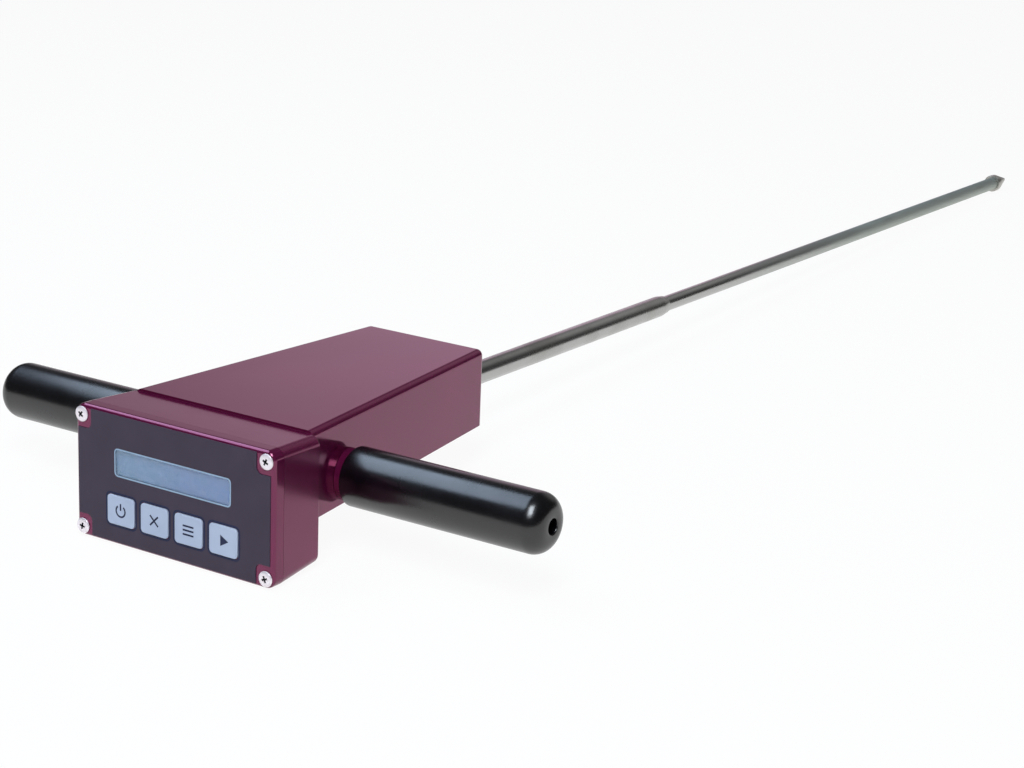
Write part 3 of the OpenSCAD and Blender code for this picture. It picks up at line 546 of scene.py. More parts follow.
# %% [markdown]
# Circuit boards are green lacquer over faint copper tracks, worked out as two crossed sets of thin
# stripes that noise breaks up. They are inside, and are seen only when the case is taken apart. The
# sleeves of the battery cells and the white diffuser behind the display are films like the panel's.

# %% Boards and cells
def lacquer():
    board = Finish("board_lacquer", ior=1.5, coat_weight=0.4)
    tracks = board.noise(2.2 * MM, 1, (1, 1, 0.12)).step(0.52, 0.55)
    cross_tracks = board.noise(2.2 * MM, 1, (0.12, 1, 1)).step(0.56, 0.58)
    board.colour(board.mix((tracks + cross_tracks).clamp() * 0.6, (0.012, 0.085, 0.04), (0.03, 0.17, 0.07)))
    board.roughness(0.35 + 0.1 * board.noise(5 * MM))
    board.bump(tracks, 0.02 * MM)
    return board.material


BOARD = lacquer()
CELL = velvet_film("cell_sleeve", (0.30, 0.20, 0.04), (0.36, 0.25, 0.06), 0.30)
WHITE = velvet_film("white_diffuser", (0.72, 0.73, 0.74), (0.78, 0.79, 0.80), 0.45)

# %% [markdown]
# ## Lid and case
# The box is a die-cast enclosure. Its walls lean in towards the back, as a casting must to leave its
# mould, and its long corners are round. Case and lid share one tapered outline, so one function makes
# both and also what is cut out of them. The case is that block, hollowed by a smaller one.

# %% Case and lid sizes
BODY = "handle_unit"
lid_low, lid_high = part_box("front_lid")
case_low, case_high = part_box("front_case")
FACE_Y = lid_low.y
CORNER_R, EDGE_R, BACK_R, SEAM = 5 * MM, 2.2 * MM, 0.8 * MM, 0.15 * MM
LID_PLATE, WALL, BACK_WALL = 2.5 * MM, 2.2 * MM, 2.5 * MM
DRAFT_SIDE, DRAFT_TOP, DRAFT_BOTTOM = 1.8 * MM, 1.1 * MM, 2.5 * MM
print("panel", [round(v / MM, 1) for v in (lid_high.x - lid_low.x, lid_high.z - lid_low.z)], "mm")


# %% Case outline
def case_block(front, back, front_share, back_share, inset):
    """The case's tapered outline between two places, drawn in by an inset. A share of 1 is full draft."""
    def corner(sx, sy, sz):
        share = back_share if sy > 0 else front_share
        x = sx * (lid_high.x - DRAFT_SIDE * share - inset)
        z = case_high.z - DRAFT_TOP * share - inset if sz > 0 else DRAFT_BOTTOM * share + inset
        return x, back if sy > 0 else front, z
    bm = box_with_corners(corner)
    bevel(bm, edges_along(bm, 1), CORNER_R - inset, 10)
    return bm


# %% Front case
case = case_block(lid_high.y + SEAM, case_high.y, 0, 1, 0)
bevel(case, rim_edges(case, 1, 1), BACK_R, 3)
case = cut(case, case_block(case_low.y - CUT_REACH, case_high.y - BACK_WALL, 0, 1, WALL))
finish_piece("case_casting", case, CAST_PAINT, BODY, ["front_case"], flat=True)

# %% [markdown]
# The lid is a shallow cap with a finer rounding round its face. The display and the keys come through
# it, so it has an opening for each, placed by the piece that goes through. A key's opening is drawn in
# from the key's box by the lips' width, less the play, so that the lips stay behind the lid. It is drawn
# in above and below too, where the panel's film hides that it is a little low for the cap.

# %% Front lid
key_nodes = ["power_key", "delete_key", "review_key", "start_key"]
KEY_PLAY, KEY_LIP, BEZEL_PLAY = 0.3 * MM, 1.2 * MM, 0.15 * MM


def opening(node, play):
    """A cutter through the lid's face round a node's outline."""
    low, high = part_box(node)
    return plain_box((low.x - play, FACE_Y - CUT_REACH, low.z - play),
                     (high.x + play, FACE_Y + CUT_REACH, high.z + play))


lid = case_block(FACE_Y, lid_high.y, 0, 0, 0)
bevel(lid, rim_edges(lid, 1, -1), EDGE_R, 6)
lid = cut(lid, case_block(FACE_Y + LID_PLATE, lid_high.y + CUT_REACH, 0, 0, WALL))
key_openings = [opening(node, KEY_PLAY - KEY_LIP) for node in key_nodes]
lid = cut(lid, join(opening("lcd_bezel", BEZEL_PLAY), *key_openings))
finish_piece("lid_casting", lid, PAINT, BODY, ["front_lid"], flat=True)

# %% [markdown]
# ## Panel, display window and prints
# The film is a flat sheet with notched corners, and its solid is exact, so it stays and only gets its
# finish. The window is a clear pane with a fine bevel that catches the light. Round it and round each key
# runs a thin printed line. A print is a rounded plate with a smaller one cut from it, a few hundredths of
# a millimetre proud of the film.

# %% Rounded plates and rings
PRINT_T = 0.03 * MM
film_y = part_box("panel_overlay")[0].y


def rounded_plate(low, high, radius):
    """A plate in X and Z whose four corners are round."""
    bm = plain_box(low, high)
    bevel(bm, edges_along(bm, 1), radius, 6)
    return bm


def printed_ring(low, high, radius, width):
    """A flat ring on the film round the box from low to high in X and Z, growing outwards by width."""
    front, back = film_y - PRINT_T, film_y + PRINT_T
    outer = rounded_plate((low[0] - width, front, low[1] - width), (high[0] + width, back, high[1] + width),
                          radius + width)
    inner = rounded_plate((low[0], front - CUT_REACH, low[1]), (high[0], back + CUT_REACH, high[1]), radius)
    return cut(outer, inner)


# %% Window pane and its line
PANE_R, PANE_BEVEL = 1.45 * MM, 0.3 * MM
WINDOW_LINE_R, WINDOW_LINE_W = 1.5 * MM, 0.7 * MM
pane_low, pane_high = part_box("lcd_window")
pane = rounded_plate(pane_low, pane_high, PANE_R)
bevel(pane, rim_edges(pane, 1, -1), PANE_BEVEL, 2)
finish_piece("window_pane", pane, WINDOW, BODY, ["lcd_window"], flat=True)
window_line = printed_ring((pane_low.x, pane_low.z), (pane_high.x, pane_high.z),
                           WINDOW_LINE_R, WINDOW_LINE_W)
finish_piece("window_line", window_line, PALE_INK, BODY)

# %% Prints round the keys
KEY_R, KEY_BORDER_W = 2 * MM, 1.1 * MM
rings = []
for node in key_nodes:
    low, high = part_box(node)
    rings.append(printed_ring((low.x + KEY_LIP - KEY_PLAY, low.z - KEY_PLAY),
                              (high.x - KEY_LIP + KEY_PLAY, high.z + KEY_PLAY), KEY_R, KEY_BORDER_W))
finish_piece("key_borders", join(*rings), INK, BODY)

# %% [markdown]
# ## Keys
# Each key is a moulded cap with a soft edge, on a square lip that keeps it behind the lid, and a stem that
# presses the switch. The three overlap and are joined as shells of one piece, because no cut through them
# is ever seen.

# %% Key caps
CAP_T, CAP_EDGE = 3.6 * MM, 0.35 * MM
LIP_FROM, LIP_T = 2.65 * MM, 1 * MM
STEM_R, STEM_FROM = 1.6 * MM, 2 * MM
for node in key_nodes:
    low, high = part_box(node)
    cap = rounded_plate((low.x + KEY_LIP, low.y, low.z), (high.x - KEY_LIP, low.y + CAP_T, high.z), KEY_R)
    bevel(cap, rim_edges(cap, 1, -1), CAP_EDGE, 3)
    lip = plain_box((low.x, FACE_Y + LIP_FROM, low.z + KEY_R),
                    (high.x, FACE_Y + LIP_FROM + LIP_T, high.z - KEY_R))
    stem = cylinder(STEM_R, high.y - low.y - STEM_FROM,
                    ((low.x + high.x) / 2, low.y + STEM_FROM, (low.z + high.z) / 2), ALONG_Y, steps=32)
    finish_piece(node.replace("key", "cap"), join(cap, lip, stem), KEY_FILM, node, [node],
                 flat=True)


# %% [markdown]
# A symbol stands where a word would: a power sign, a cross, a list and a triangle. They are thin shapes on
# the cap's face, made from cubes, a spun strip and a three-sided cone. They are separate pieces that move
# with their key, so that the ink has its own finish.

# %% Shapes for symbols
def bar(x, z, w, h, turn=0):
    """A flat bar of width w and height h, turned about its own middle at x and z."""
    bm = plain_box((-w / 2, 0, -h / 2), (w / 2, PRINT_T, h / 2))
    placing = Matrix.Translation((x, 0, z)) @ Matrix.Rotation(math.radians(turn), 4, "Y")
    bmesh.ops.transform(bm, matrix=placing, verts=bm.verts)
    return bm


def open_ring(radius, width, gap):
    """A flat ring with a gap at its top, spun from one face of a thin box."""
    bm = plain_box((radius - width / 2, 0, 0), (radius + width / 2, PRINT_T, PRINT_T))
    others = [f for f in bm.faces if not looks(f, 2, -1)]
    bmesh.ops.delete(bm, geom=others, context="FACES")
    turn_about(bm, "Y", gap / 2 - 90)
    bmesh.ops.spin(bm, geom=bm.faces[:], cent=ORIGIN, axis=ALONG_Y, dvec=ORIGIN,
                   angle=math.radians(360 - gap), steps=40)
    return bm


def triangle(radius):
    """A flat triangle that points along X, made as a cone with three sides and no taper."""
    bm = bmesh.new()
    bmesh.ops.create_cone(bm, cap_ends=True, segments=3, radius1=radius, radius2=radius, depth=PRINT_T)
    turn_about(bm, "X", 90)
    turn_about(bm, "Y", 90)
    bmesh.ops.translate(bm, vec=(0, PRINT_T / 2, 0), verts=bm.verts)
    return bm


# %% Key symbols
LINE = 0.9 * MM
RING_R, RING_GAP, TICK_Z, TICK_L = 2.8 * MM, 76, 2.0 * MM, 3.4 * MM
CROSS_L, LIST_L, LIST_PITCH, TRIANGLE_R = 7 * MM, 6.6 * MM, 2.1 * MM, 3.2 * MM
symbols = {
    "power_key": [open_ring(RING_R, LINE, RING_GAP), bar(0, TICK_Z, LINE, TICK_L)],
    "delete_key": [bar(0, 0, LINE, CROSS_L, 45), bar(0, 0, LINE, CROSS_L, -45)],
    "review_key": [bar(0, row * LIST_PITCH, LIST_L, LINE) for row in (-1, 0, 1)],
    "start_key": [triangle(TRIANGLE_R)]}
for node, shapes in symbols.items():
    low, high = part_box(node)
    symbol = join(*shapes)
    bmesh.ops.translate(symbol, vec=((low.x + high.x) / 2, low.y - PRINT_T / 2, (low.z + high.z) / 2),
                        verts=symbol.verts)
    finish_piece(node.replace("key", "symbol"), symbol, INK, node)

# %% [markdown]
# ## Lid screws
# Four cross-head screws hold the lid. A pan head is a flat disc with a wide rounded shoulder, so its
# profile is turned, and the cross is cut with two thin wedges. Its walls get painted shade: a second,
# dark material stands for the shade in the recess. The heads are all turned a little differently, as no
# one lines up screws.

# %% Screw sizes
screw_low, screw_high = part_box("lid_screws")
HEAD_R, HEAD_H, HEAD_TOP_R = 3.8 * MM, FACE_Y - screw_low.y, 0.95 * MM
EDGE_H, EDGE_CHAMFER, SHOULDER_FULLNESS = 0.4 * HEAD_H, 0.2 * MM, 0.8
SHOULDER_DEGREES = range(0, 66, 6)
THREAD_R, THREAD_L, THREAD_TIP_R, THREAD_TIP_L = 2 * MM, 16 * MM, 1.8 * MM, 1 * MM
CROSS_TOP, CROSS_FLOOR = (2.4 * MM, 0.6 * MM), (1.0 * MM, 0.4 * MM)
TOP_Y, FLOOR_Y = -HEAD_H - 1 * MM, -0.15 * MM
# The walls of the cross between these bounds get painted shade.
CROSS_SHADE_R, CROSS_SHADE_FROM, CROSS_SHADE_TO = 1.9 * MM, -HEAD_H + 0.12 * MM, -0.1 * MM
SCREW_TURNS = (12, 38, 70, 25)
screw_spots = [(x, z) for x in (screw_low.x + HEAD_R, screw_high.x - HEAD_R)
               for z in (screw_low.z + HEAD_R, screw_high.z - HEAD_R)]
print("screw head", round(2 * HEAD_R / MM, 1), "by", round(HEAD_H / MM, 1), "mm")


# %% Screws
def cross_wedge(turn):
    """A cutter for two arms of the cross, wide above the head and narrow at the floor of the cross."""
    def corner(sx, sy, sz):
        reach, half_width = CROSS_TOP if sy < 0 else CROSS_FLOOR
        return sx * reach, TOP_Y if sy < 0 else FLOOR_Y, sz * half_width
    wedge = box_with_corners(corner)
    turn_about(wedge, "Y", turn)
    return wedge


def pan_screw(x, z, turn):
    """A pan head screw with its head towards -Y."""
    shoulder = [(HEAD_R * math.cos(a), -EDGE_H - (HEAD_H - EDGE_H) * math.sin(a) ** SHOULDER_FULLNESS)
                for a in (math.radians(d) for d in SHOULDER_DEGREES)]
    profile = [(0, THREAD_L), (THREAD_TIP_R, THREAD_L), (THREAD_R, THREAD_L - THREAD_TIP_L), (THREAD_R, 0),
               (HEAD_R - EDGE_CHAMFER, 0), (HEAD_R, -EDGE_CHAMFER)] + shoulder \
        + [(HEAD_TOP_R, -HEAD_H), (0, -HEAD_H)]
    screw = lathe(profile, ORIGIN, ALONG_Y, steps=48)
    for angle in (0, 90):
        screw = cut(screw, cross_wedge(angle))
    # Faces on the walls of the cross take the second, dark material: painted shade in the recess.
    for face in screw.faces:
        middle = face.calc_center_median()
        in_shaded_cross = middle.xz.length < CROSS_SHADE_R and CROSS_SHADE_FROM < middle.y < CROSS_SHADE_TO
        face.material_index = 1 if in_shaded_cross else 0
    placing = Matrix.Translation((x, FACE_Y, z)) @ Matrix.Rotation(math.radians(turn), 4, "Y")
    bmesh.ops.transform(screw, matrix=placing, verts=screw.verts)
    return screw


screws = join(*(pan_screw(x, z, turn) for (x, z), turn in zip(screw_spots, SCREW_TURNS)))
finish_piece("lid_screw_set", screws, NICKEL, BODY, ["lid_screws"], sharp=38, second=DARK_STEEL)

# %% [markdown]
# ## Rear housing
# The housing is folded from one sheet: a roof, two sides that come together towards the back, and a rear
# wall. A cube with its corners moved gives the block, the folded edges are bevelled with the fold's
# radius, the open front and bottom are taken off, and the solidify operator gives the skin its thickness,
# inwards. That order is the sheet metal worker's, and it keeps the wall even round the folds.

# %% Housing block
house_low, house_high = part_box("rear_housing")
REAR_W, SIDE_REAR_H = 74.5 * MM, 41.1 * MM
SHEET, FOLD_R, ROOF_STEP = 1.5 * MM, 3.5 * MM, 0.3 * MM
ROOF_FRONT_Z = case_high.z + ROOF_STEP


def house_corner(sx, sy, sz):
    half = REAR_W / 2 if sy > 0 else house_high.x
    low_z = house_high.z - SIDE_REAR_H if sy > 0 else house_low.z
    roof_z = house_high.z if sy > 0 else ROOF_FRONT_Z
    return sx * half, house_high.y if sy > 0 else house_low.y, roof_z if sz > 0 else low_z


def is_open(face):
    """Whether a face of the block is the open front or the open bottom."""
    return looks(face, 1, -1) or looks(face, 2, -1)


def is_fold(edge):
    """Whether the sheet is folded at an edge. The rear wall is also turned in at its lower edge."""
    at_front, at_rear = (any(looks(f, 1, side) for f in edge.link_faces) for side in (-1, 1))
    at_bottom = any(looks(f, 2, -1) for f in edge.link_faces)
    return not at_front and (at_rear or not at_bottom)


house = box_with_corners(house_corner)
house.normal_update()
bevel(house, [e for e in house.edges if is_fold(e)], FOLD_R, 8)
house.normal_update()
bmesh.ops.delete(house, geom=[f for f in house.faces if is_open(f)], context="FACES")
bmesh.ops.recalc_face_normals(house, faces=house.faces)
if sum(f.normal.z * f.calc_area() for f in house.faces) < 0:
    bmesh.ops.reverse_faces(house, faces=house.faces)
bmesh.ops.solidify(house, geom=house.faces[:], thickness=SHEET)
print("housing box", [round(v / MM, 1) for v in (house_high - house_low)])


# %% [markdown]
# The holes for the handle bar, the shaft's bush and the two sensors are cut last, as wide as what passes
# through them. Each cutter is a plain cylinder placed by the node that goes through, so a hole can't miss
# its piece. The bush has a flange that covers its hole, and the sensors sit in rubber rings, which need
# room.

# %% Holes in the housing
def bore(centre, direction, radius, reach):
    """A round cutter with half its reach on each side of a centre."""
    return cylinder(radius, reach, Vector(centre) - Vector(direction) * reach / 2, direction, steps=64)


BUSH_FLANGE, RING_ROOM, BAR_PLAY = 0.55 * MM, 1.1 * MM, 0.05 * MM
WALL_REACH, WIDTH_REACH = 12 * MM, 300 * MM
rear_bores = []
for node, wider in (("shaft_bush", -BUSH_FLANGE), ("sonar_sender", RING_ROOM),
                    ("sonar_receiver", RING_ROOM)):
    middle, radius = middle_and_radius(node)
    rear_bores.append(bore((middle.x, house_high.y, middle.z), ALONG_Y, radius + wider, WALL_REACH))
house = cut(house, join(*rear_bores))
middle, radius = middle_and_radius("handle_bar")
house = cut(house, bore((0, middle.y, middle.z), ALONG_X, radius + BAR_PLAY, WIDTH_REACH))
finish_piece("housing_shell", house, PAINT, BODY, ["rear_housing"], flat=True)

# %% [markdown]
# ## Grips
# A grip is a thick vinyl sleeve with a closed, rounded end and a small vent hole. Its section is one
# closed profile: the outside, the rounded end, the hole's softened edge and the bore that the bar fills.
# Spinning it makes the whole sleeve at once, and both grips are alike but for the way they point.

# %% Grips
HOLE_R, BORE_R, END_T = 3.75 * MM, 9.58 * MM, 10 * MM
ROOT_ROUND, END_ROUND, HOLE_ROUND = 1.5 * MM, 9 * MM, 0.7 * MM
for node, side in (("left_grip", -1), ("right_grip", 1)):
    low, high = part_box(node)
    middle, radius = middle_and_radius(node)
    length = high.x - low.x
    profile = [(BORE_R, 0)] + arc(radius - ROOT_ROUND, ROOT_ROUND, ROOT_ROUND, -90, 0) \
        + arc(radius - END_ROUND, length - END_ROUND, END_ROUND, 0, 90, 16) \
        + arc(HOLE_R + HOLE_ROUND, length - HOLE_ROUND, HOLE_ROUND, 90, 180, 5) \
        + [(HOLE_R, length - END_T), (BORE_R, length - END_T)]
    root = (low.x if side > 0 else high.x, middle.y, middle.z)
    grip = lathe(profile, root, (side, 0, 0), closed=True, steps=128)
    finish_piece(node + "_sleeve", grip, GRIP, BODY, [node])

# %% [markdown]
# ## Shafts and cone
# Both rods are turned stainless steel. The thick one is screwed into the force sensor by a stud, and ends
# in a long taper with a softened edge, round the socket for the thin one. Its profile follows those from
# one end to the other, so the whole rod is one spin.

# %% Upper shaft
upper_low, upper_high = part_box("upper_shaft")
UPPER_AT, UPPER_R = middle_and_radius("upper_shaft")
AXIS_Z = UPPER_AT.z
STUD_R, STUD_L, STUD_CHAMFER = 5 * MM, 17 * MM, 0.5 * MM
TAPER, TAPER_BLEND, TAPER_STEP = 6.5 * MM, 1 * MM, 0.12 * MM
TAPER_END_R, TAPER_END_L, MOUTH_R, MOUTH_ROUND = 5.5 * MM, 0.8 * MM, 4.8 * MM, 0.6 * MM
JOINT_L, SOCKET_R, SOCKET_SPARE = 20 * MM, 3.225 * MM, 1 * MM
upper_l = upper_high.y - upper_low.y
socket_floor = upper_l - JOINT_L - SOCKET_SPARE
profile = [(0, 0), (STUD_R, 0), (STUD_R, STUD_L), (UPPER_R - STUD_CHAMFER, STUD_L),
           (UPPER_R, STUD_L + STUD_CHAMFER), (UPPER_R, upper_l - TAPER - TAPER_BLEND),
           (UPPER_R - TAPER_STEP, upper_l - TAPER), (TAPER_END_R, upper_l - TAPER_END_L)] \
    + arc(MOUTH_R, upper_l - MOUTH_ROUND, MOUTH_ROUND, 10, 90, 5) \
    + [(SOCKET_R, upper_l), (SOCKET_R, socket_floor), (0, socket_floor)]
upper = lathe(profile, (0, upper_low.y, AXIS_Z), ALONG_Y)
finish_piece("upper_rod", upper, STEEL, BODY, ["upper_shaft"])

# %% [markdown]
# The thin rod has a threaded end for the socket of the thick one and a stud for the cone. Threads are plain
# here, because the joint hides them. It is a body of its own, since it unscrews for carrying, and it wears
# the finish that goes dull along its length.

# %% Lower shaft
lower_low, lower_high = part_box("lower_shaft")
LOWER_R = middle_and_radius("lower_shaft")[1]
JOINT_R, JOINT_CHAMFER, JOINT_GAP = 3.175 * MM, 0.4 * MM, 0.15 * MM
CONE_STUD_R, CONE_STUD_L, ROD_CHAMFER = 2.5 * MM, 8 * MM, 0.3 * MM
lower_l = lower_high.y - lower_low.y
rod_from, rod_to = JOINT_L + JOINT_GAP, lower_l - CONE_STUD_L
profile = [(0, 0), (JOINT_R - JOINT_CHAMFER, 0), (JOINT_R, JOINT_CHAMFER), (JOINT_R, rod_from),
           (LOWER_R - ROD_CHAMFER, rod_from), (LOWER_R, rod_from + ROD_CHAMFER),
           (LOWER_R, rod_to - ROD_CHAMFER), (LOWER_R - ROD_CHAMFER, rod_to),
           (CONE_STUD_R, rod_to), (CONE_STUD_R, lower_l), (0, lower_l)]
lower = lathe(profile, (0, lower_low.y, AXIS_Z), ALONG_Y)
finish_piece("lower_rod", lower, ROD_STEEL, "lower_shaft", ["lower_shaft"])

# %% [markdown]
# The cone is a separate hardened tip, wider than the rod, so that the ground presses on its face only. It
# has a straight land, the cone itself and a point that use has rounded, which is one more arc. Its bore
# takes the lower shaft's stud.

# %% Cone
cone_low, cone_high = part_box("cone_tip")
CONE_R = middle_and_radius("cone_tip")[1]
LAND, POINT_R, CONE_CHAMFER = 5 * MM, 1.17 * MM, 0.3 * MM
CONE_BORE_R, CONE_BORE_L = 2.55 * MM, 8.3 * MM
cone_l = cone_high.y - cone_low.y
profile = [(0, CONE_BORE_L), (CONE_BORE_R, CONE_BORE_L), (CONE_BORE_R, 0), (CONE_R - CONE_CHAMFER, 0),
           (CONE_R, CONE_CHAMFER), (CONE_R, LAND)] + arc(0, cone_l - POINT_R, POINT_R, 15, 90, 8)
cone = lathe(profile, (0, cone_low.y, AXIS_Z), ALONG_Y)
finish_piece("hard_cone", cone, TIP_STEEL, "cone_tip", ["cone_tip"])

# %% [markdown]
# ## Rear wall: distance sensors
# Beside the shaft's bush, two round cans in rubber rings measure the distance to the ground by sound. Each
# can has a rolled rim and, in its mouth, a woven wire screen: two crossed sets of round wires, each wire as
# long as the chord of the mouth at its place.

# %% Sensor screens
def screen(centre, radius, pitch, wire):
    """Two crossed layers of wires that fill a circle. One layer lies over the other."""
    bm = bmesh.new()
    count = int(radius / pitch)
    for turn, lift in ((0, -wire / 2), (90, wire / 2)):
        for k in range(-count, count + 1):
            half = math.sqrt(max(radius ** 2 - (k * pitch) ** 2, 0))
            if half < pitch:
                continue
            made = bmesh.ops.create_cone(bm, segments=6, radius1=wire / 2, radius2=wire / 2, depth=2 * half)
            bmesh.ops.translate(bm, vec=(k * pitch, lift, 0), verts=made["verts"])
            turn_about(bm, "Y", turn, made["verts"])
    bmesh.ops.translate(bm, vec=centre, verts=bm.verts)
    return bm


# %% Sensor cans
CAN_CHAMFER, RIM_ROUND, RIM_W, MOUTH_DEPTH = 0.4 * MM, 0.6 * MM, 1.3 * MM, 1.6 * MM
SCREEN_DEPTH, SCREEN_PLAY, WIRE_PITCH, WIRE = 0.9 * MM, 0.05 * MM, 0.75 * MM, 0.28 * MM
for node in ("sonar_sender", "sonar_receiver"):
    low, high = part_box(node)
    middle, radius = middle_and_radius(node)
    length = high.y - low.y
    mouth = radius - RIM_W
    profile = [(0, 0), (radius - CAN_CHAMFER, 0), (radius, CAN_CHAMFER), (radius, length - RIM_ROUND)] \
        + arc(radius - RIM_ROUND, length - RIM_ROUND, RIM_ROUND, 0, 180, 8) \
        + [(mouth, length - MOUTH_DEPTH), (0, length - MOUTH_DEPTH)]
    can = lathe(profile, (middle.x, low.y, middle.z), ALONG_Y, steps=64)
    finish_piece(node + "_can", can, ALUMINIUM, BODY, [node])
    wires = screen((middle.x, high.y - SCREEN_DEPTH, middle.z), mouth - SCREEN_PLAY, WIRE_PITCH, WIRE)
    finish_piece(node + "_screen", wires, ALUMINIUM, BODY)

# %% [markdown]
# ## Port plug
# The data port on the back of the case is closed by a soft rubber plug: a stem with a chamfered tip, and a
# head with a round edge and a shallow dish for the fingertip. It is round, so it is turned too, and it is a
# body of its own that pulls straight out.

# %% Port plug
PLUG_TIP_R, PLUG_R, PLUG_CHAMFER = 3.4 * MM, 3.95 * MM, 0.6 * MM
PLUG_HEAD_T, HEAD_CHAMFER, HEAD_SIDE, HEAD_ROUND = 3 * MM, 0.2 * MM, 1.2 * MM, 0.8 * MM
DISH_R, DISH_FLOOR_R, DISH_DEPTH, FACE_SETBACK = 3.5 * MM, 3.2 * MM, 0.9 * MM, 0.4 * MM
plug_low, plug_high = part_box("port_plug")
plug_at, head_r = middle_and_radius("port_plug")
plug_l = plug_high.y - plug_low.y
head_from, round_from = plug_l - PLUG_HEAD_T, plug_l - FACE_SETBACK - HEAD_ROUND
profile = [(0, 0), (PLUG_TIP_R, 0), (PLUG_R, PLUG_CHAMFER), (PLUG_R, head_from),
           (head_r - HEAD_CHAMFER, head_from), (head_r, head_from + HEAD_CHAMFER),
           (head_r, head_from + HEAD_SIDE)] \
    + arc(head_r - HEAD_ROUND, round_from, HEAD_ROUND, 0, 80, 5) \
    + [(DISH_R, plug_l - FACE_SETBACK), (DISH_FLOOR_R, plug_l - DISH_DEPTH), (0, plug_l - DISH_DEPTH)]
plug = lathe(profile, (plug_at.x, plug_low.y, plug_at.z), ALONG_Y, steps=64)
finish_piece("plug_cap", plug, RUBBER, "port_plug", ["port_plug"])

# %% [markdown]
# ## Finishes for the solids that stay
# The remaining solids already have the right shape. Each one's slot in the record says what it is made
# of, so one table from slot to finish dresses them all.

# %% Dress the solids
slot_finish = {
    "painted_casting": PAINT, "panel_film": FILM, "display_window": WINDOW, "display_glass": DISPLAY,
    "diffuser": WHITE, "key_plastic": KEY_FILM, "grip_vinyl": GRIP, "black_rubber": RUBBER,
    "black_plastic": PLASTIC, "circuit_board": BOARD, "nickel": NICKEL, "steel": STEEL,
    "black_steel": DARK_STEEL, "brass": BRASS, "aluminium": ALUMINIUM, "cell_sleeve": CELL}
for entry in frame["record"]["subparts"]:
    solid = frame["nodes"][entry["node"]]
    solid.data.materials.clear()
    solid.data.materials.append(slot_finish[entry["material_slot"]])

# %% [markdown]
# ## Studio
# The part lies on a white floor as it does on a bench: on the lid's lower rim and on the cone at the far
# end, so the floor leans by the angle between those two. A photographer's white sweep is lit by itself
# until it is pure white. Here a part of the floor's light is given by hand, to the camera and to
# reflections only, and the rest is plain paper, which keeps a faint shadow.

# %% Floor
FLOOR_HALF, FLOOR_GAP, FLOOR_GLOW = 12, 0.1 * MM, 0.94
foot = Vector((0, lid_high.y, 0))
cone_touch = Vector((0, cone_low.y + LAND, AXIS_Z - CONE_R))
lean = math.degrees(math.atan2(cone_touch.z - foot.z, cone_touch.y - foot.y))
floor_mesh = bpy.data.meshes.new("floor")
bm = bmesh.new()
bmesh.ops.create_grid(bm, x_segments=1, y_segments=1, size=FLOOR_HALF)
turn_about(bm, "X", lean)
bmesh.ops.translate(bm, vec=foot - Vector((0, 0, FLOOR_GAP)), verts=bm.verts)
bm.to_mesh(floor_mesh)
bm.free()
floor = bpy.data.objects.new("floor", floor_mesh)
bpy.context.scene.collection.objects.link(floor)
print("floor leans", round(lean, 2), "degrees")

# %% Floor finish
paper = Finish("white_paper", roughness=1.0, base_color=(0.87, 0.87, 0.87, 1), ior=1.0)
camera_ray, mirrored_ray, clear_ray = (paper.number("ShaderNodeLightPath", f"Is {kind} Ray")
                                       for kind in ("Camera", "Glossy", "Transmission"))
glow = FLOOR_GLOW * (camera_ray + mirrored_ray + clear_ray).clamp()
lit = paper.node("ShaderNodeEmission", {}, {"Color": (1, 1, 1, 1), "Strength": 1.0})
sweep = paper.node("ShaderNodeMixShader", {}, {0: glow, 1: paper.shader.outputs[0], 2: lit.outputs[0]})
paper.feed(paper.tree.nodes["Material Output"].inputs["Surface"], sweep.outputs[0])
floor_mesh.materials.append(paper.material)

# %% [markdown]
# Gloss paint, vinyl and polished rods show the room more than their own colour, so the lights are placed
# by what they leave on the part. A large bluish box on the left draws the long streak on the grips and
# the bright line on the lid's upper edge. A bright window in front, to the right and above, is the main
# light: it fills the panel and the sides, and the rounded end of the right grip mirrors it as a sharp
# glint.

# %% Lights
GRIP_AT = Vector((100 * MM, panel_y + 66 * MM, AXIS_Z))


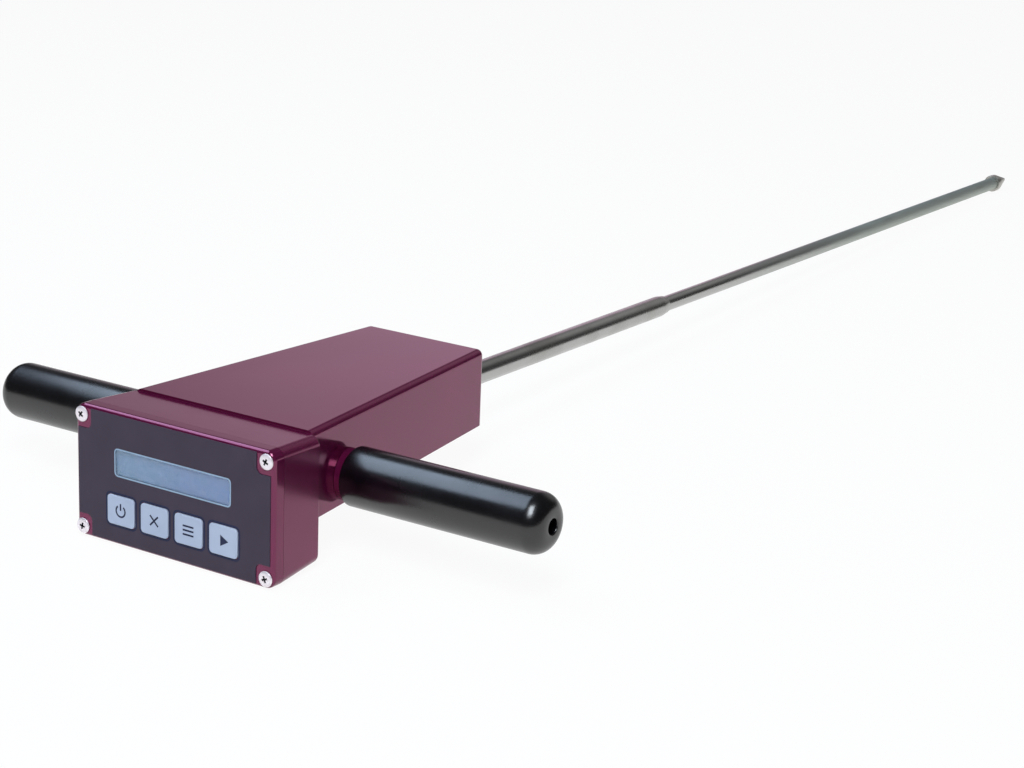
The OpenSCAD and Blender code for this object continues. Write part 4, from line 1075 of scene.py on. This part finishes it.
def soft_box(name, towards, distance, size, radiance, colour):
    """An area light seen from the grip in a direction, facing it, with a given radiance."""
    data = bpy.data.lights.new(name, "AREA")
    data.shape = "RECTANGLE"
    data.size, data.size_y = size
    data.energy = radiance * math.pi * size[0] * size[1]
    data.color = colour
    lamp = bpy.data.objects.new(name, data)
    aim = Vector(towards).normalized()
    lamp.matrix_world = Matrix.Translation(GRIP_AT + distance * aim) \
        @ aim.to_track_quat("Z", "Y").to_matrix().to_4x4()
    bpy.context.scene.collection.objects.link(lamp)
    print(name, "of", round(data.energy, 1), "watts")


soft_box("left_box", (-0.575, -0.08, 0.81), 1.5, (1.35, 0.65), 4.0, (0.64, 0.79, 1.0))
soft_box("front_window", (0.25, -0.52, 0.82), 1.6, (0.62, 1.0), 12.0, (0.85, 0.92, 1.0))

# %% [markdown]
# The sky stands for the rest of the room, which is nearly black. One pale pinkish wall at the far left is
# what the roof of the housing mirrors, and it fades to the left, which leaves the front of the roof darker.
# A soft grey glow at the back gives the upper half of the rods their tone. It fades to the right, which
# draws the dark line along them above the bright mirror image of the floor.

# %% Room
world = bpy.data.worlds.new("studio_room")
bpy.context.scene.world = world
world.use_nodes = True
room = Shading(world.node_tree)
direction = room.node("ShaderNodeTexCoord").outputs["Generated"]


def facing(towards):
    """How nearly a direction of the room points to a given one: 1 where they are the same."""
    return room.number("ShaderNodeVectorMath", "Value", {"operation": "DOT_PRODUCT"},
                       {0: direction, 1: Vector(towards).normalized()})


DARK_LEVEL, WALL_LEVEL, GLOW_LEVEL = 0.07, 0.74, 0.43
WHITE_LIGHT, PINK_LIGHT = (1, 1, 1), (1.0, 0.75, 0.92)
pale_wall = facing((-0.50, 0.84, 0.20)).step(0.950, 0.997)
back_glow = facing((0.0, 0.927, 0.375)).step(0.93, 1.0)
backdrop = world.node_tree.nodes["Background"]
room.feed(backdrop.inputs["Strength"], DARK_LEVEL + WALL_LEVEL * pale_wall + GLOW_LEVEL * back_glow)
room.feed(backdrop.inputs["Color"], room.mix(pale_wall, WHITE_LIGHT, PINK_LIGHT))

bpy.context.scene.view_settings.view_transform = "Standard"
print("room", world.name, "with", len(room.tree.nodes), "nodes")
